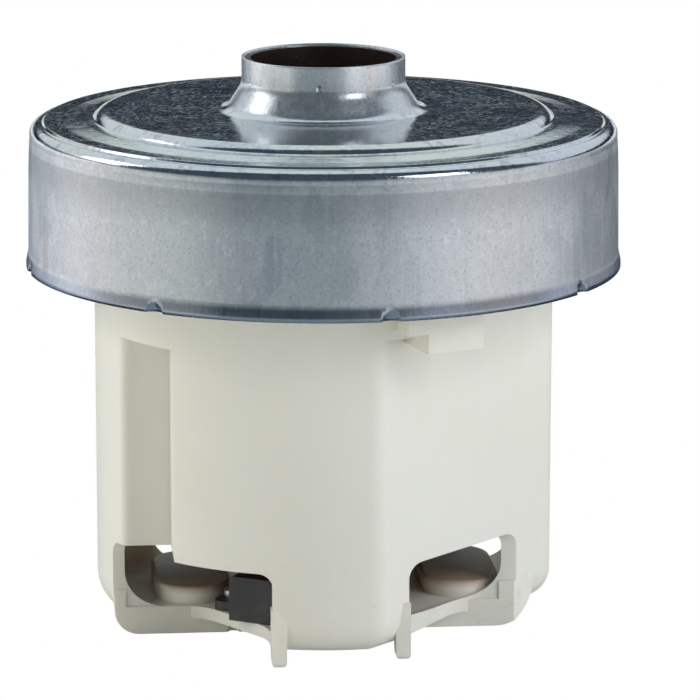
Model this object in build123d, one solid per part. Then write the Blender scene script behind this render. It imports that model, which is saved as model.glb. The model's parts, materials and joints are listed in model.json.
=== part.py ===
from build123d import *
import math
import os

# Vacuum motor unit: a sheet-metal fan cover over a moulded can that holds a two-pole commutator motor.
# Millimetres, +Z up. The origin is on the rotor's axis, at the plane that the feet stand on.
# Azimuths are in degrees, counted from the front (-Y) towards the right (+X).

os.makedirs("parts", exist_ok=True)

# Shared clearances
air_gap = 0.3
seat_gap = 0.05
overrun = 4.0

# Fan cover
sheet = 0.8
rim_drop = 3.9
rim_flare = 0.6
rim_flare_height = 3.6
rim_lip_height = 0.9
wall_low_r = 67.4
wall_draft = 0.45
cover_height = 33.3
corner_r = 2.7
ring_width = 15.05
step_width = 3.9
step_round = 1.3
step_height = 2.1
flare_foot_r = 22.8
flare_round = 11.0
crease_round = 0.9
collar_r = 18.6
flare_height = 5.2
collar_height = 6.9
dent_count = 8
dent_azimuth = 7.6
dent_ball_r = 3.6
dent_depth = 1.1
dimple_count = 6
dimple_azimuth = -7.8
dimple_height = 2.0
dimple_r = 0.6
dimple_depth = 0.35

# Inlet seal ring
seal_wall = 1.2
seal_top_drop = 0.5
seal_length = 14.0

# Can: outer plan, walls and levels
body_r = 52.45
flat_share = 0.8122
flat_azimuth = 45.0
wall = 2.5
flange_z = 86.6
flange_thickness = 2.6
flange_side_gap = 0.35
can_bottom_z = 3.6
floor_thickness = 2.8
bottom_round = 7.0
trough_round = 8.5
window_z = 22.3
window_corner_r = 3.2
plan_round = 6.0
pillar_half_depth = 17.3
corner_half_width = 15.4
notch_x_share = 0.6959
notch_y_share = 0.4347
notch_top_z = 70.7
notch_edge_r = 2.4
tongue_bend_x = 29.5
tongue_bend_r = 11.0
tongue_end_y = 37.0

# Feet and legs under the can
foot_left_x = 49.2
foot_right_x = 47.2
foot_left_round = 5.5
foot_right_round = 9.0
foot_wall = 2.4
foot_proud = 0.5
leg_x = 14.0
leg_width = 3.3
leg_bottom_z = 1.1
leg_top_z = 14.0
leg_blend = 3.0
leg_proud = 0.7
leg_depth = 5.0
leg_foot_depth = 3.0
leg_round = 1.2

# Pads on the floor
pad_x = 31.0
pad_width = 17.5
pad_length = 33.0
pad_height = 4.0
pad_edge_r = 0.8

# Band and retaining lugs under the rim
band_proud = 1.15
band_bottom_z = 75.5
band_from = -24.8
band_to = 17.2
band_chamfer = 3.0
lug_setback = 6.4
lug_from = 17.2
lug_to = 30.2
lug_bottom_z = 73.3
lug_step_from = 12.7
lug_step_bottom_z = 77.7

# Shaft and bearings
shaft_r = 4.0
shaft_chamfer = 0.4
shaft_end_lift = 14.4
lower_bearing_r = 8.0
lower_bearing_width = 5.0
lower_bearing_z = 2.5
lower_ball_r = 1.1
lower_ball_count = 9
upper_bearing_r = 11.0
upper_bearing_width = 7.0
upper_bearing_drop = 2.0
upper_ball_r = 2.0
upper_ball_count = 7
ball_gap = 0.04
race_share = 0.3
shield_thickness = 0.3
cage_thickness = 0.5
cage_rim = 0.5
cushion_thickness = 1.2
boss_wall = 2.6
boss_floor = 1.2
preload_washer_thickness = 0.4

# Bridge that carries the upper bearing
hub_r = 17.5
hub_floor = 1.4
hub_lip_r = 7.5
spoke_count = 4
spoke_width = 6.0
spoke_height = 5.0
bracket_height = 6.0
bracket_setback = 3.2
bridge_screw_length = 9.0
retainer_thickness = 1.2
retainer_inner_r = 8.5
retainer_screw_count = 3
retainer_screw_pcd_r = 14.2
small_screw_r = 1.2
small_head_r = 2.3
small_head_height = 1.6
small_cross_width = 0.6
small_screw_length = 6.0

# Stator
stack_z = 30.0
stack_length = 32.0
stator_flat_gap = 0.9
stator_side_gap = 0.1
yoke_depth = 10.6
yoke_side = 7.0
pole_neck_half = 11.0
pole_shoe_thickness = 2.2
pole_half_angle = 58.0
insulator_thickness = 0.9
insulator_overhang = 1.4
rib_width = 5.0
rib_top_z = 61.0
rib_seat_depth = 1.8
rib_azimuth = -17.0
stator_screw_inset = 3.4
stator_screw_r = 2.0
stator_screw_hole_gap = 0.2
stator_head_r = 3.7
stator_head_height = 2.6
stator_screw_grip = 9.0

# Field coils
coil_half_width = 20.4
coil_low_z = 16.9
coil_high_z = 75.2
coil_corner_r = 11.0
coil_depth = 6.4
coil_side_gap = 0.5
coil_corner_gap = 0.18
field_wire_d = 0.75
field_wire_pitch = 1.25
field_turns = 5
field_wire_lead = 1.5
wire_step_share = 0.4
wire_neighbour_length = 4.0

# Armature
armature_air_gap = 0.5
slot_count = 12
slot_width = 3.2
slot_depth = 8.0
slot_mouth = 1.4
tooth_tip = 1.2
end_insulator_thickness = 0.8
winding_setback = 1.1
winding_inner_r = 7.0
winding_groove_r = 1.0
winding_low_z = 19.2
winding_high_z = 71.5
winding_slope = 4.0

# Commutator
commutator_r = 11.5
commutator_z = 8.2
commutator_length = 8.8
bar_count = 24
bar_depth = 2.6
bar_gap = 0.5
riser_r = 13.2
riser_height = 1.6

# Brush gear: each brush axis runs level from the commutator, front left and rear right
brush_azimuth = -30.0
brush_z = 12.0
brush_width = 6.0
brush_height = 6.0
brush_chamfer = 0.5
brush_gap = 0.1
brush_tube_wall = 0.6
brush_tube_start_r = 14.6
brush_tube_end_r = 36.5
brush_plug_thickness = 1.4
brush_travel = 5.0
spring_d = 4.8
spring_wire_d = 0.5
spring_turns = 7
spring_pressed_length = 5.5
holder_wall = 1.9
holder_round = 0.9
holder_start_r = 15.6
holder_end_wall = 1.4
holder_base_width = 26.0
holder_base_start_r = 21.0
holder_base_end_r = 32.0
holder_base_height = 2.2
holder_screw_offset = 10.2
terminal_width = 4.8
terminal_thickness = 0.8
terminal_reach = 7.0
terminal_setback = 1.6
terminal_gap = 0.1

# Fan and diffuser
fan_lift = 3.0
fan_gap = 1.4
plate_thickness = 0.9
outlet_height = 6.2
fan_blade_count = 8
blade_thickness = 0.9
blade_inner_r = 19.5
blade_setback = 0.8
blade_sweep = 75.0
blade_bow_share = 0.36
eye_gap = 0.45
eye_lap = 3.7
shroud_foot_r = 21.5
shroud_round = 5.0
bush_r = 9.0
bush_height = 5.5
bush_chamfer = 1.4
washer_r = 8.0
washer_thickness = 1.2
nut_flats = 13.0
nut_height = 6.0
spacer_r = 6.0
gasket_thickness = 1.0
gasket_setback = 0.4
diffuser_plate_lift = 8.2
diffuser_plate_thickness = 1.6
diffuser_side_gap = 0.55
diffuser_vane_reach = 8.2
diffuser_hole_r = 15.0
diffuser_vane_height = 10.0
diffuser_vane_count = 14
diffuser_vane = 1.4
diffuser_vane_lean = 52.0
return_vane_count = 11
return_vane_inner_r = 21.0
return_vane_bow_share = 0.25

# Levels and sizes worked out from the ones above
rim_z = flange_z - rim_drop
cover_top_z = rim_z + cover_height
disc_z = cover_top_z + step_height
crease_z = disc_z + flare_height
collar_top_z = crease_z + collar_height
upper_bearing_z = flange_z - upper_bearing_drop
holder_end_r = brush_tube_end_r + 2 * seat_gap + holder_end_wall
wall_top_r = wall_low_r - wall_draft
rim_r = wall_low_r + rim_flare
step_r = wall_top_r - ring_width
disc_r = step_r - step_width
diffuser_outer_r = wall_top_r - sheet - diffuser_side_gap
diffuser_r = diffuser_outer_r - diffuser_vane_reach
fan_r = diffuser_r - fan_gap
blade_outer_r = fan_r - blade_setback
gasket_inner_r = diffuser_r + gasket_setback
flat_distance = body_r * flat_share
notch_x = body_r * notch_x_share
notch_y = body_r * notch_y_share
band_r = body_r + band_proud
lug_r = wall_low_r - lug_setback
stator_r = flat_distance - wall - stator_flat_gap
stator_cavity_x = stator_r - yoke_side
stator_cavity_y = stator_r - yoke_depth
stator_screw_x = stator_r - stator_screw_inset
rib_seat_r = stator_r - rib_seat_depth
coil_y = stator_cavity_y - coil_side_gap - coil_depth
stator_cavity_r = math.hypot(coil_half_width, coil_y + coil_depth) + coil_corner_gap
pole_bore_r = coil_y - coil_side_gap - pole_shoe_thickness
armature_r = pole_bore_r - armature_air_gap
winding_r = armature_r - winding_setback
bridge_screw_pcd_r = stator_r + bracket_setback
floor_z = can_bottom_z + floor_thickness
stack_top_z = stack_z + stack_length
flange_top_z = flange_z + flange_thickness
flange_r = wall_low_r - sheet - flange_side_gap
upper_bearing_top_z = upper_bearing_z + upper_bearing_width
lower_bearing_top_z = lower_bearing_z + lower_bearing_width
shaft_bottom_z = lower_bearing_z + air_gap
hub_bottom_z = upper_bearing_z - hub_floor - preload_washer_thickness
seal_outer_r = collar_r - sheet - seat_gap
seal_inner_r = seal_outer_r - seal_wall
seal_low_z = collar_top_z - seal_top_drop - seal_length
eye_r = seal_inner_r - eye_gap
eye_top_z = seal_low_z + eye_lap
diffuser_plate_z = flange_top_z + diffuser_plate_lift
diffuser_top_z = diffuser_plate_z + diffuser_vane_height
fan_z = diffuser_plate_z + fan_lift
shaft_top_z = fan_z + shaft_end_lift
spacer_z = upper_bearing_top_z
gasket_top_z = flange_top_z + gasket_thickness
brush_start_r = commutator_r + seat_gap
brush_plug_r = brush_tube_end_r - brush_plug_thickness
brush_end_r = brush_plug_r - spring_pressed_length - brush_travel


def save(shape, node):
    shape.label = node
    export_step(shape, "parts/" + node + ".step")


def group(solids):
    return Compound(children=list(solids))


def turned(shape, azimuth):
    return Rot(0, 0, azimuth) * shape


def disc(radius, low_z, high_z):
    return Pos(0, 0, low_z) * extrude(Circle(radius), high_z - low_z)


def ring(outer_r, inner_r, low_z, high_z):
    return Pos(0, 0, low_z) * extrude(Circle(outer_r) - Circle(inner_r), high_z - low_z)


def block(low_x, high_x, low_y, high_y, low_z, high_z):
    return Pos(low_x, low_y, low_z) * Box(
        high_x - low_x, high_y - low_y, high_z - low_z, align=(Align.MIN, Align.MIN, Align.MIN)
    )


def sector(outer_r, inner_r, from_azimuth, to_azimuth):
    """A plan ring sector between two azimuths, each side cut along a ray from the axis."""
    reach = 2 * outer_r
    middle = (from_azimuth + to_azimuth) / 2
    rays = [(reach * math.sin(math.radians(a)), -reach * math.cos(math.radians(a)))
            for a in (from_azimuth, middle, to_azimuth)]
    wedge = make_face(Polyline((0, 0), *rays, close=True))
    return (Circle(outer_r) - Circle(inner_r)) & wedge


def revolved(face):
    """Turns a face drawn as (radius, height) about the rotor's axis."""
    return revolve(Plane.XZ * face, Axis.Z)


# Fan cover
def cover_profile():
    line = FilletPolyline(
        (collar_r, collar_top_z),
        (collar_r, crease_z),
        (flare_foot_r, disc_z),
        (disc_r, disc_z),
        (step_r, cover_top_z),
        (wall_top_r, cover_top_z),
        (wall_low_r, rim_z + rim_flare_height),
        (rim_r, rim_z + rim_lip_height),
        (rim_r, rim_z),
        radius=[crease_round, flare_round, step_round, step_round, corner_r,
                rim_flare_height / 2, rim_lip_height / 2],
    )
    sheet_line = Wire(line.edges()).offset_2d(sheet, kind=Kind.INTERSECTION, side=Side.RIGHT, closed=True)
    return make_face(sheet_line)


def cover_dent(cover, azimuth):
    """One pocket pressed in at the rim: the sheet bulges inwards round a ball-shaped dent."""
    centre_r = wall_low_r + dent_ball_r - dent_depth
    place = Rot(0, 0, azimuth) * Pos(0, -centre_r, rim_z)
    ball = place * Sphere(dent_ball_r)
    bulge = place * Sphere(dent_ball_r + sheet)
    inside = disc(wall_low_r - sheet / 2, rim_z, rim_z + dent_ball_r + sheet)
    return cover + (bulge & inside) - ball


def build_fan_cover():
    cover = revolved(cover_profile())
    for i in range(dent_count):
        cover = cover_dent(cover, dent_azimuth + i * 360 / dent_count)
    dimple_place = Pos(0, -(collar_r + dimple_r - dimple_depth), crease_z + dimple_height)
    for i in range(dimple_count):
        cover -= turned(dimple_place * Sphere(dimple_r), dimple_azimuth + i * 360 / dimple_count)
    return cover


def build_inlet_seal_ring():
    return ring(seal_outer_r, seal_inner_r, seal_low_z, collar_top_z - seal_top_drop)


# Can
def can_plan(inset):
    """The can's outer plan, moved in by inset: a circle cut by two opposite flats."""
    flats = Rot(0, 0, flat_azimuth - 90) * Rectangle(2 * (flat_distance - inset), 2 * body_r + overrun)
    plan = Circle(body_r - inset) & flats
    return fillet(plan.vertices(), plan_round - inset)


def notch_plan(grown):
    """The two corners that are cut back to a flat wall, front left and rear right."""
    reach = body_r + overrun
    corner = Pos(-reach, -reach) * Rectangle(
        reach - notch_x + grown, reach - notch_y + grown, align=(Align.MIN, Align.MIN)
    )
    return corner + Rot(0, 0, 180) * corner


def upper_can():
    outer = can_plan(0) - notch_plan(0)
    edge_x = math.sqrt(body_r**2 - notch_y**2)
    corners = [v for v in outer.vertices()
               if abs(abs(v.Y) - notch_y) < seat_gap and abs(abs(v.X) - edge_x) < seat_gap]
    outer = fillet(corners, notch_edge_r)
    low_wall = outer - (can_plan(wall) - notch_plan(wall))
    ledge_top = notch_top_z + wall
    shape = Pos(0, 0, window_z) * extrude(low_wall, ledge_top - window_z)
    ledge = can_plan(0) - (can_plan(wall) - notch_plan(wall))
    shape += Pos(0, 0, notch_top_z) * extrude(ledge, wall)
    shape += Pos(0, 0, ledge_top) * extrude(can_plan(0) - can_plan(wall), flange_top_z - ledge_top)
    return shape


def bottom_plan():
    """The pillars' depth and the two tongues that run to the corner walls, in plan."""
    tongue_tip_y = body_r + overrun
    bend = (tongue_bend_x, pillar_half_depth)
    half = [(-body_r - overrun, pillar_half_depth), (-bend[0], bend[1]),
            (-corner_half_width, tongue_end_y),
            (-corner_half_width, tongue_tip_y)]
    mirrored = [(-x, y) for x, y in reversed(half)]
    upper = half + mirrored
    lower = [(-x, -y) for x, y in upper]
    radii = [0, tongue_bend_r, tongue_bend_r, 0, 0, tongue_bend_r, tongue_bend_r, 0]
    line = FilletPolyline(*upper, *lower, radius=radii + radii, close=True)
    return make_face(Wire(line.edges()))


def lower_can():
    """The bucket's bottom: floor, pillars and corner walls, with a round outer edge."""
    height = window_z - can_bottom_z
    bucket = Pos(0, 0, can_bottom_z) * extrude(can_plan(0), height)
    bucket = fillet(bucket.faces().sort_by(Axis.Z)[0].edges(), bottom_round)
    kept = Pos(0, 0, can_bottom_z) * extrude(bottom_plan(), height)
    bucket &= kept
    inside = Pos(0, 0, floor_z) * extrude(can_plan(wall), height)
    inside = fillet(inside.faces().sort_by(Axis.Z)[0].edges(), trough_round)
    return bucket - inside


def build_feet():
    """A closed skirt under the floor that the unit stands on, square to the pillars."""
    depth = pillar_half_depth + foot_proud
    top = can_bottom_z + bottom_round
    line = FilletPolyline(
        (-foot_left_x, top), (-foot_left_x, 0), (foot_right_x, 0), (foot_right_x, top),
        radius=[foot_left_round, foot_right_round], close=False,
    )
    outline = make_face(Wire(line.edges() + [Edge.make_line((foot_right_x, top), (-foot_left_x, top))]))
    skirt = extrude(Plane.XZ * outline, depth, both=True)
    skirt &= extrude(can_plan(0), top)
    hollow_x = foot_left_x - foot_wall - foot_left_round
    hollow_right_x = foot_right_x - foot_wall - foot_right_round / 2
    hollow_y = depth - foot_wall
    hollow = block(-hollow_x, hollow_right_x, -hollow_y, hollow_y, -overrun, can_bottom_z)
    above = Pos(0, 0, floor_z) * extrude(can_plan(wall), top)
    return skirt - hollow - above


def build_leg():
    """One rib that runs down a corner wall and stands out below it, narrower towards its tip."""
    face_y = -math.sqrt(body_r**2 - leg_x**2) - leg_proud
    profile = make_face(Polyline(
        (face_y, leg_bottom_z),
        (face_y, leg_top_z - leg_blend),
        (face_y + leg_proud, leg_top_z),
        (face_y + leg_depth, leg_top_z),
        (face_y + leg_depth, can_bottom_z),
        (face_y + leg_foot_depth, leg_bottom_z),
        close=True,
    ))
    tip = profile.vertices().group_by(Axis.Y)[0]
    profile = fillet(tip, leg_round)
    leg = Pos(-leg_x - leg_width / 2, 0, 0) * extrude(Plane.YZ * profile, leg_width)
    front = Pos(-leg_x, leg_bottom_z + leg_top_z / 2) * RectangleRounded(leg_width, leg_top_z, leg_round)
    return leg & extrude(Plane.XZ * front, 2 * body_r)


def build_legs():
    left = build_leg()
    flat_y = -(flat_distance * math.sqrt(2) - leg_x) - leg_proud
    round_y = -math.sqrt(body_r**2 - leg_x**2) - leg_proud
    right = Pos(2 * leg_x, flat_y - round_y, 0) * left
    return [left, right, turned(left, 180), turned(right, 180)]


def build_pads():
    stadium = SlotOverall(pad_length, pad_width, rotation=90)
    root = floor_thickness / 2
    pad = Pos(pad_x, 0, can_bottom_z + root) * extrude(stadium, root + pad_height)
    pad = fillet(pad.faces().sort_by(Axis.Z)[-1].edges(), pad_edge_r)
    return [pad, turned(pad, 180)]


def build_bearing_boss():
    """The closed cup in the floor that holds the lower bearing and its rubber cushion."""
    bore = lower_bearing_r + cushion_thickness + 2 * seat_gap
    bottom = lower_bearing_z - boss_floor
    top = lower_bearing_top_z
    relief_r = lower_bearing_r - (lower_bearing_r - shaft_r) * race_share
    hollow = disc(bore, lower_bearing_z, top + overrun) + disc(relief_r, lower_bearing_z - air_gap, top)
    return disc(bore + boss_wall, bottom, top), hollow


def build_stator_ribs():
    """Ribs that centre the laminations, each with a ledge below that carries them."""
    shapes = []
    reach = body_r - wall / 2
    seat_top = stack_z
    for azimuth in (rib_azimuth, rib_azimuth + 180, 90, 270):
        tall = block(-rib_width / 2, rib_width / 2, -reach, -stator_r - stator_side_gap,
                     window_z, rib_top_z)
        seat = block(-rib_width / 2, rib_width / 2, -reach, -rib_seat_r, window_z, seat_top)
        shapes += [turned(tall, azimuth), turned(seat, azimuth)]
    for side in (-1, 1):
        post = Pos(side * stator_screw_x, 0, window_z) * extrude(Circle(stator_head_r), seat_top - window_z)
        shapes.append(post)
    return shapes


def spoke_azimuths():
    return [rib_azimuth + i * 360 / spoke_count for i in range(spoke_count)]


def build_brackets():
    """The four brackets on the can's wall that carry the bridge, clear of the laminations' way in."""
    reach = body_r - wall / 2
    inner = stator_r + stator_side_gap
    bracket = block(-spoke_width / 2, spoke_width / 2, -reach, -inner,
                    hub_bottom_z - bracket_height, hub_bottom_z)
    return [turned(bracket, azimuth) for azimuth in spoke_azimuths()]


def bridge_screw_places():
    for azimuth in spoke_azimuths():
        angle = math.radians(azimuth)
        yield bridge_screw_pcd_r * math.sin(angle), -bridge_screw_pcd_r * math.cos(angle)


def bridge_screw_holes():
    low = hub_bottom_z + spoke_height - bridge_screw_length
    for x, y in bridge_screw_places():
        yield Pos(x, y, low) * extrude(Circle(small_screw_r + seat_gap), bridge_screw_length + overrun)


def build_bearing_bridge():
    """The hub for the upper bearing and the spokes that carry it to the brackets on the can's wall."""
    top = upper_bearing_top_z
    bridge = disc(hub_r, hub_bottom_z, top)
    for azimuth in spoke_azimuths():
        spoke = block(-spoke_width / 2, spoke_width / 2, -body_r, -hub_r + wall,
                      hub_bottom_z, hub_bottom_z + spoke_height)
        bridge += turned(spoke, azimuth)
    bridge &= extrude(can_plan(wall + seat_gap), top)
    bridge -= disc(upper_bearing_r + seat_gap, hub_bottom_z + hub_floor, top + overrun)
    bridge -= disc(hub_lip_r, hub_bottom_z - overrun, top)
    screw_hole_r = small_screw_r + seat_gap
    for x, y in retainer_screw_places():
        hole = extrude(Circle(screw_hole_r), small_screw_length + overrun)
        bridge -= Pos(x, y, top - small_screw_length) * hole
    for hole in bridge_screw_holes():
        bridge -= hole
    return bridge


def build_lug():
    root_r = flat_distance + wall
    tall = extrude(sector(lug_r, root_r, lug_from, lug_to), flange_z - lug_bottom_z)
    step = extrude(sector(lug_r, root_r, lug_step_from, lug_from), flange_z - lug_step_bottom_z)
    return Pos(0, 0, lug_bottom_z) * tall + Pos(0, 0, lug_step_bottom_z) * step


def build_band():
    face = sector(band_r, body_r - wall, band_from, band_to)
    band = Pos(0, 0, band_bottom_z) * extrude(face, flange_z - band_bottom_z)
    side = band_chamfer * math.sqrt(2)
    corner = turned(Pos(0, -band_r, band_bottom_z) * Rot(0, 45, 0) * Box(side, 2 * wall, side), band_from)
    return band - corner


def retainer_screw_places():
    for i in range(retainer_screw_count):
        azimuth = math.radians(i * 360 / retainer_screw_count)
        yield retainer_screw_pcd_r * math.sin(azimuth), -retainer_screw_pcd_r * math.cos(azimuth)


def holder_screw_places():
    middle_r = (holder_base_start_r + holder_base_end_r) / 2
    for turn in (0, 180):
        for side in (-1, 1):
            spot = Rot(0, 0, brush_azimuth + turn) * Pos(side * holder_screw_offset, -middle_r, 0)
            yield spot.position.X, spot.position.Y


def round_window_corners(can):
    """Rounds the inner corners where each window's top edge meets a corner wall or a pillar."""
    level = [e for e in can.edges() if abs(e.center().Z - window_z) < seat_gap]
    corners = [e for e in level
               if abs(abs(e.center().X) - corner_half_width) < seat_gap
               and abs(e.center().Y) > stator_r]
    corners += [e for e in level
                if abs(abs(e.center().Y) - pillar_half_depth) < seat_gap
                and abs(e.center().X) > stator_r]
    return fillet(corners, window_corner_r)


def build_motor_housing():
    can = round_window_corners(upper_can() + lower_can()) + build_feet()
    for leg in build_legs():
        can += leg
    for pad in build_pads():
        can += pad
    boss, boss_bore = build_bearing_boss()
    can += boss
    for rib in build_stator_ribs():
        can += rib
    for bracket in build_brackets():
        can += bracket
    can += Pos(0, 0, flange_z) * extrude(Circle(flange_r) - can_plan(wall), flange_thickness)
    for turn in (0, 180):
        can += turned(build_lug(), turn)
        can += turned(build_band(), turn)
    can = can - boss_bore
    for hole in bridge_screw_holes():
        can -= hole
    for x, y in holder_screw_places():
        hole = extrude(Circle(small_screw_r + seat_gap), floor_thickness + 2 * overrun)
        can -= Pos(x, y, can_bottom_z - overrun) * hole
    for side in (-1, 1):
        low = stack_z - stator_screw_grip
        hole = extrude(Circle(stator_screw_r + seat_gap), stator_screw_grip + overrun)
        can -= Pos(side * stator_screw_x, 0, low) * hole
    return can


# Bearings
def build_bearing(bore_r, outer_r, width, low_z, ball_r, ball_count):
    """Outer race, inner race, balls, cage and the two shields of one ball bearing."""
    pitch_r = (bore_r + outer_r) / 2
    middle_z = low_z + width / 2
    land = (outer_r - bore_r) * race_share
    groove = Pos(0, 0, middle_z) * Torus(pitch_r, ball_r + ball_gap)
    outer = ring(outer_r, outer_r - land, low_z, low_z + width) - groove
    inner = ring(bore_r + land, bore_r, low_z, low_z + width) - groove
    balls = []
    pockets = []
    for i in range(ball_count):
        place = Rot(0, 0, i * 360 / ball_count) * Pos(0, -pitch_r, middle_z)
        balls.append(place * Sphere(ball_r))
        pockets.append(place * Sphere(ball_r + ball_gap))
    cage_half = ball_r + cage_rim
    cage = ring(pitch_r + cage_thickness, pitch_r - cage_thickness,
                middle_z - cage_half, middle_z + cage_half)
    for pocket in pockets:
        cage -= pocket
    shields = []
    for z in (low_z + seat_gap, low_z + width - seat_gap - shield_thickness):
        shields.append(ring(outer_r - land - seat_gap, bore_r + land + seat_gap, z, z + shield_thickness))
    return outer, inner, group(balls), cage, group(shields)


def save_bearing(name, parts):
    for part, suffix in zip(parts, ("outer_race", "inner_race", "balls", "cage", "shields")):
        save(part, name + "_" + suffix)


# Stator and its coils
def build_stator_core():
    cavity = Circle(stator_cavity_r) & Rectangle(2 * stator_cavity_x, 2 * stator_cavity_y)
    plan = Circle(stator_r) - cavity
    shoe_r = pole_bore_r + pole_shoe_thickness
    for turn in (0, 180):
        shoe = sector(shoe_r, pole_bore_r, -pole_half_angle, pole_half_angle)
        neck = Pos(0, -(pole_bore_r + stator_cavity_y + overrun) / 2) * Rectangle(
            2 * pole_neck_half, stator_cavity_y + overrun - pole_bore_r
        )
        plan += Rot(0, 0, turn) * (shoe + (neck - Circle(shoe_r - pole_shoe_thickness / 2)))
    for side in (-1, 1):
        plan -= Pos(side * stator_screw_x, 0) * Circle(stator_screw_r + stator_screw_hole_gap)
    return Pos(0, 0, stack_z) * extrude(plan, stack_length)


def coil_window_half():
    return pole_neck_half + insulator_thickness + 2 * seat_gap


def build_pole_insulator():
    outer = pole_neck_half + seat_gap + insulator_thickness
    inner = pole_neck_half + seat_gap
    low = stack_z - insulator_overhang
    high = stack_top_z + insulator_overhang
    depth = stator_cavity_y - seat_gap - coil_y
    outer_box = block(-outer, outer, -coil_y - depth, -coil_y, low, high)
    inner_box = block(-inner, inner, -coil_y - depth - overrun, -coil_y + overrun,
                      stack_z - seat_gap, stack_top_z + seat_gap)
    return outer_box - inner_box


def racetrack(half_width, low_z, high_z, corner):
    middle = (low_z + high_z) / 2
    return Pos(0, middle) * RectangleRounded(2 * half_width, high_z - low_z, corner)


def build_field_coil_core():
    """The body of one field coil inside its outer layer of turns."""
    skin = field_wire_d + seat_gap
    outer = racetrack(coil_half_width - skin, coil_low_z + skin, coil_high_z - skin, coil_corner_r - skin)
    hole_low = stack_z - insulator_overhang - seat_gap
    hole_high = stack_top_z + insulator_overhang + seat_gap
    hole = Pos(0, (hole_low + hole_high) / 2) * Rectangle(2 * coil_window_half(), hole_high - hole_low)
    face = Plane.XZ * (outer - hole)
    return Pos(0, -coil_y, 0) * extrude(face, coil_depth)


def field_wire_path():
    """One unbroken line of turns in the coil's plane: level turns joined by a double bend at the top."""
    half = coil_half_width - field_wire_d / 2
    low = coil_low_z + field_wire_d / 2
    high = coil_high_z - field_wire_d / 2
    corner = coil_corner_r - field_wire_d / 2
    run = half - corner
    start_y = -coil_y - (coil_depth - (field_turns - 1) * field_wire_pitch) / 2
    edges = [Line((run - field_wire_lead, start_y, high), (run, start_y, high))]
    for i in range(field_turns):
        y = start_y - i * field_wire_pitch
        if i:
            previous = y + field_wire_pitch
            middle = (0, (y + previous) / 2, high)
            first = TangentArc((-run, previous, high), middle, tangent=(1, 0, 0))
            edges.append(first)
            edges.append(TangentArc(middle, (run, y, high), tangent=first % 1))
        edges.append(quarter((run, y, high), (half, y, high - corner), (run, y, high - corner), corner))
        edges.append(Line((half, y, high - corner), (half, y, low + corner)))
        edges.append(quarter((half, y, low + corner), (run, y, low), (run, y, low + corner), corner))
        edges.append(Line((run, y, low), (-run, y, low)))
        edges.append(quarter((-run, y, low), (-half, y, low + corner), (-run, y, low + corner), corner))
        if i < field_turns - 1:
            edges.append(Line((-half, y, low + corner), (-half, y, high - corner)))
            edges.append(quarter((-half, y, high - corner), (-run, y, high),
                                 (-run, y, high - corner), corner))
        else:
            edges.append(Line((-half, y, low + corner), (-half, y, stack_z)))
    return Wire(edges)


def quarter(start, end, centre, radius):
    middle = [(a + b) / 2 - c for a, b, c in zip(start, end, centre)]
    length = math.sqrt(sum(m * m for m in middle))
    through = tuple(c + m * radius / length for c, m in zip(centre, middle))
    return ThreePointArc(start, through, end)


def build_field_coil_wire():
    path = field_wire_path()
    start = path @ 0
    section = Plane(origin=start, z_dir=path % 0) * Circle(field_wire_d / 2)
    return sweep(section, path=path)


def print_field_wire_gap():
    """Measures, on points along the wire, the least gap between stretches that aren't neighbours."""
    path = field_wire_path()
    count = round(path.length / (field_wire_d * wire_step_share))
    neighbours = round(wire_neighbour_length / (field_wire_d * wire_step_share))
    points = [tuple(path @ (i / count)) for i in range(count + 1)]
    least = min(math.dist(point, other)
                for i, point in enumerate(points)
                for other in points[i + neighbours:])
    print("field coil wire: least gap to itself", round(least - field_wire_d, 3))


def build_stator_screws():
    screws = []
    for side in (-1, 1):
        low = stack_z - stator_screw_grip + air_gap
        shank = Pos(side * stator_screw_x, 0, low) * extrude(Circle(stator_screw_r), stack_top_z - low)
        head = extrude(Circle(stator_head_r), stator_head_height)
        head = Pos(side * stator_screw_x, 0, stack_top_z) * head
        socket_z = stack_top_z + stator_head_height / 2
        socket = Pos(side * stator_screw_x, 0, socket_z) * extrude(
            RegularPolygon(stator_screw_r, 6), stator_head_height
        )
        screws.append(shank + head - socket)
    return group(screws)


# Rotor
def build_rotor_shaft():
    shaft = disc(shaft_r, shaft_bottom_z, shaft_top_z)
    ends = shaft.edges().group_by(Axis.Z)[0] + shaft.edges().group_by(Axis.Z)[-1]
    return chamfer(ends, shaft_chamfer)


def armature_slots(plan, grown):
    for i in range(slot_count):
        mouth = Pos(0, -armature_r) * Rectangle(slot_mouth - grown, 2 * (tooth_tip + slot_depth / 2))
        pocket_r = armature_r - tooth_tip - slot_depth / 2
        pocket = Pos(0, -pocket_r) * RectangleRounded(slot_width - grown, slot_depth - grown, slot_width / 3)
        plan = plan - Rot(0, 0, i * 360 / slot_count) * (mouth + pocket)
    return plan


def build_armature_core():
    bore = shaft_r + seat_gap
    plan = armature_slots(Circle(armature_r) - Circle(bore), 0)
    return Pos(0, 0, stack_z) * extrude(plan, stack_length)


def build_armature_end_insulator(low_z):
    return ring(winding_r, shaft_r + seat_gap, low_z, low_z + end_insulator_thickness)


def build_winding(from_z, to_z):
    """The turns heaped at one end of the armature, rounded towards the shaft."""
    inner = winding_inner_r
    outward = 1 if to_z > from_z else -1
    points = [(inner, from_z), (winding_r, from_z), (winding_r, to_z - outward * winding_slope),
              (winding_r - winding_slope, to_z), (inner, to_z)]
    face = make_face(Polyline(*points, close=True))
    heap = revolved(face)
    cutter_r = winding_r + winding_groove_r / 2
    for i in range(slot_count):
        azimuth = (i + 1 / 2) * 360 / slot_count
        place = Rot(0, 0, azimuth) * Pos(0, -cutter_r, min(from_z, to_z) - overrun)
        heap -= place * extrude(Circle(winding_groove_r), abs(to_z - from_z) + 2 * overrun)
    return heap


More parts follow.
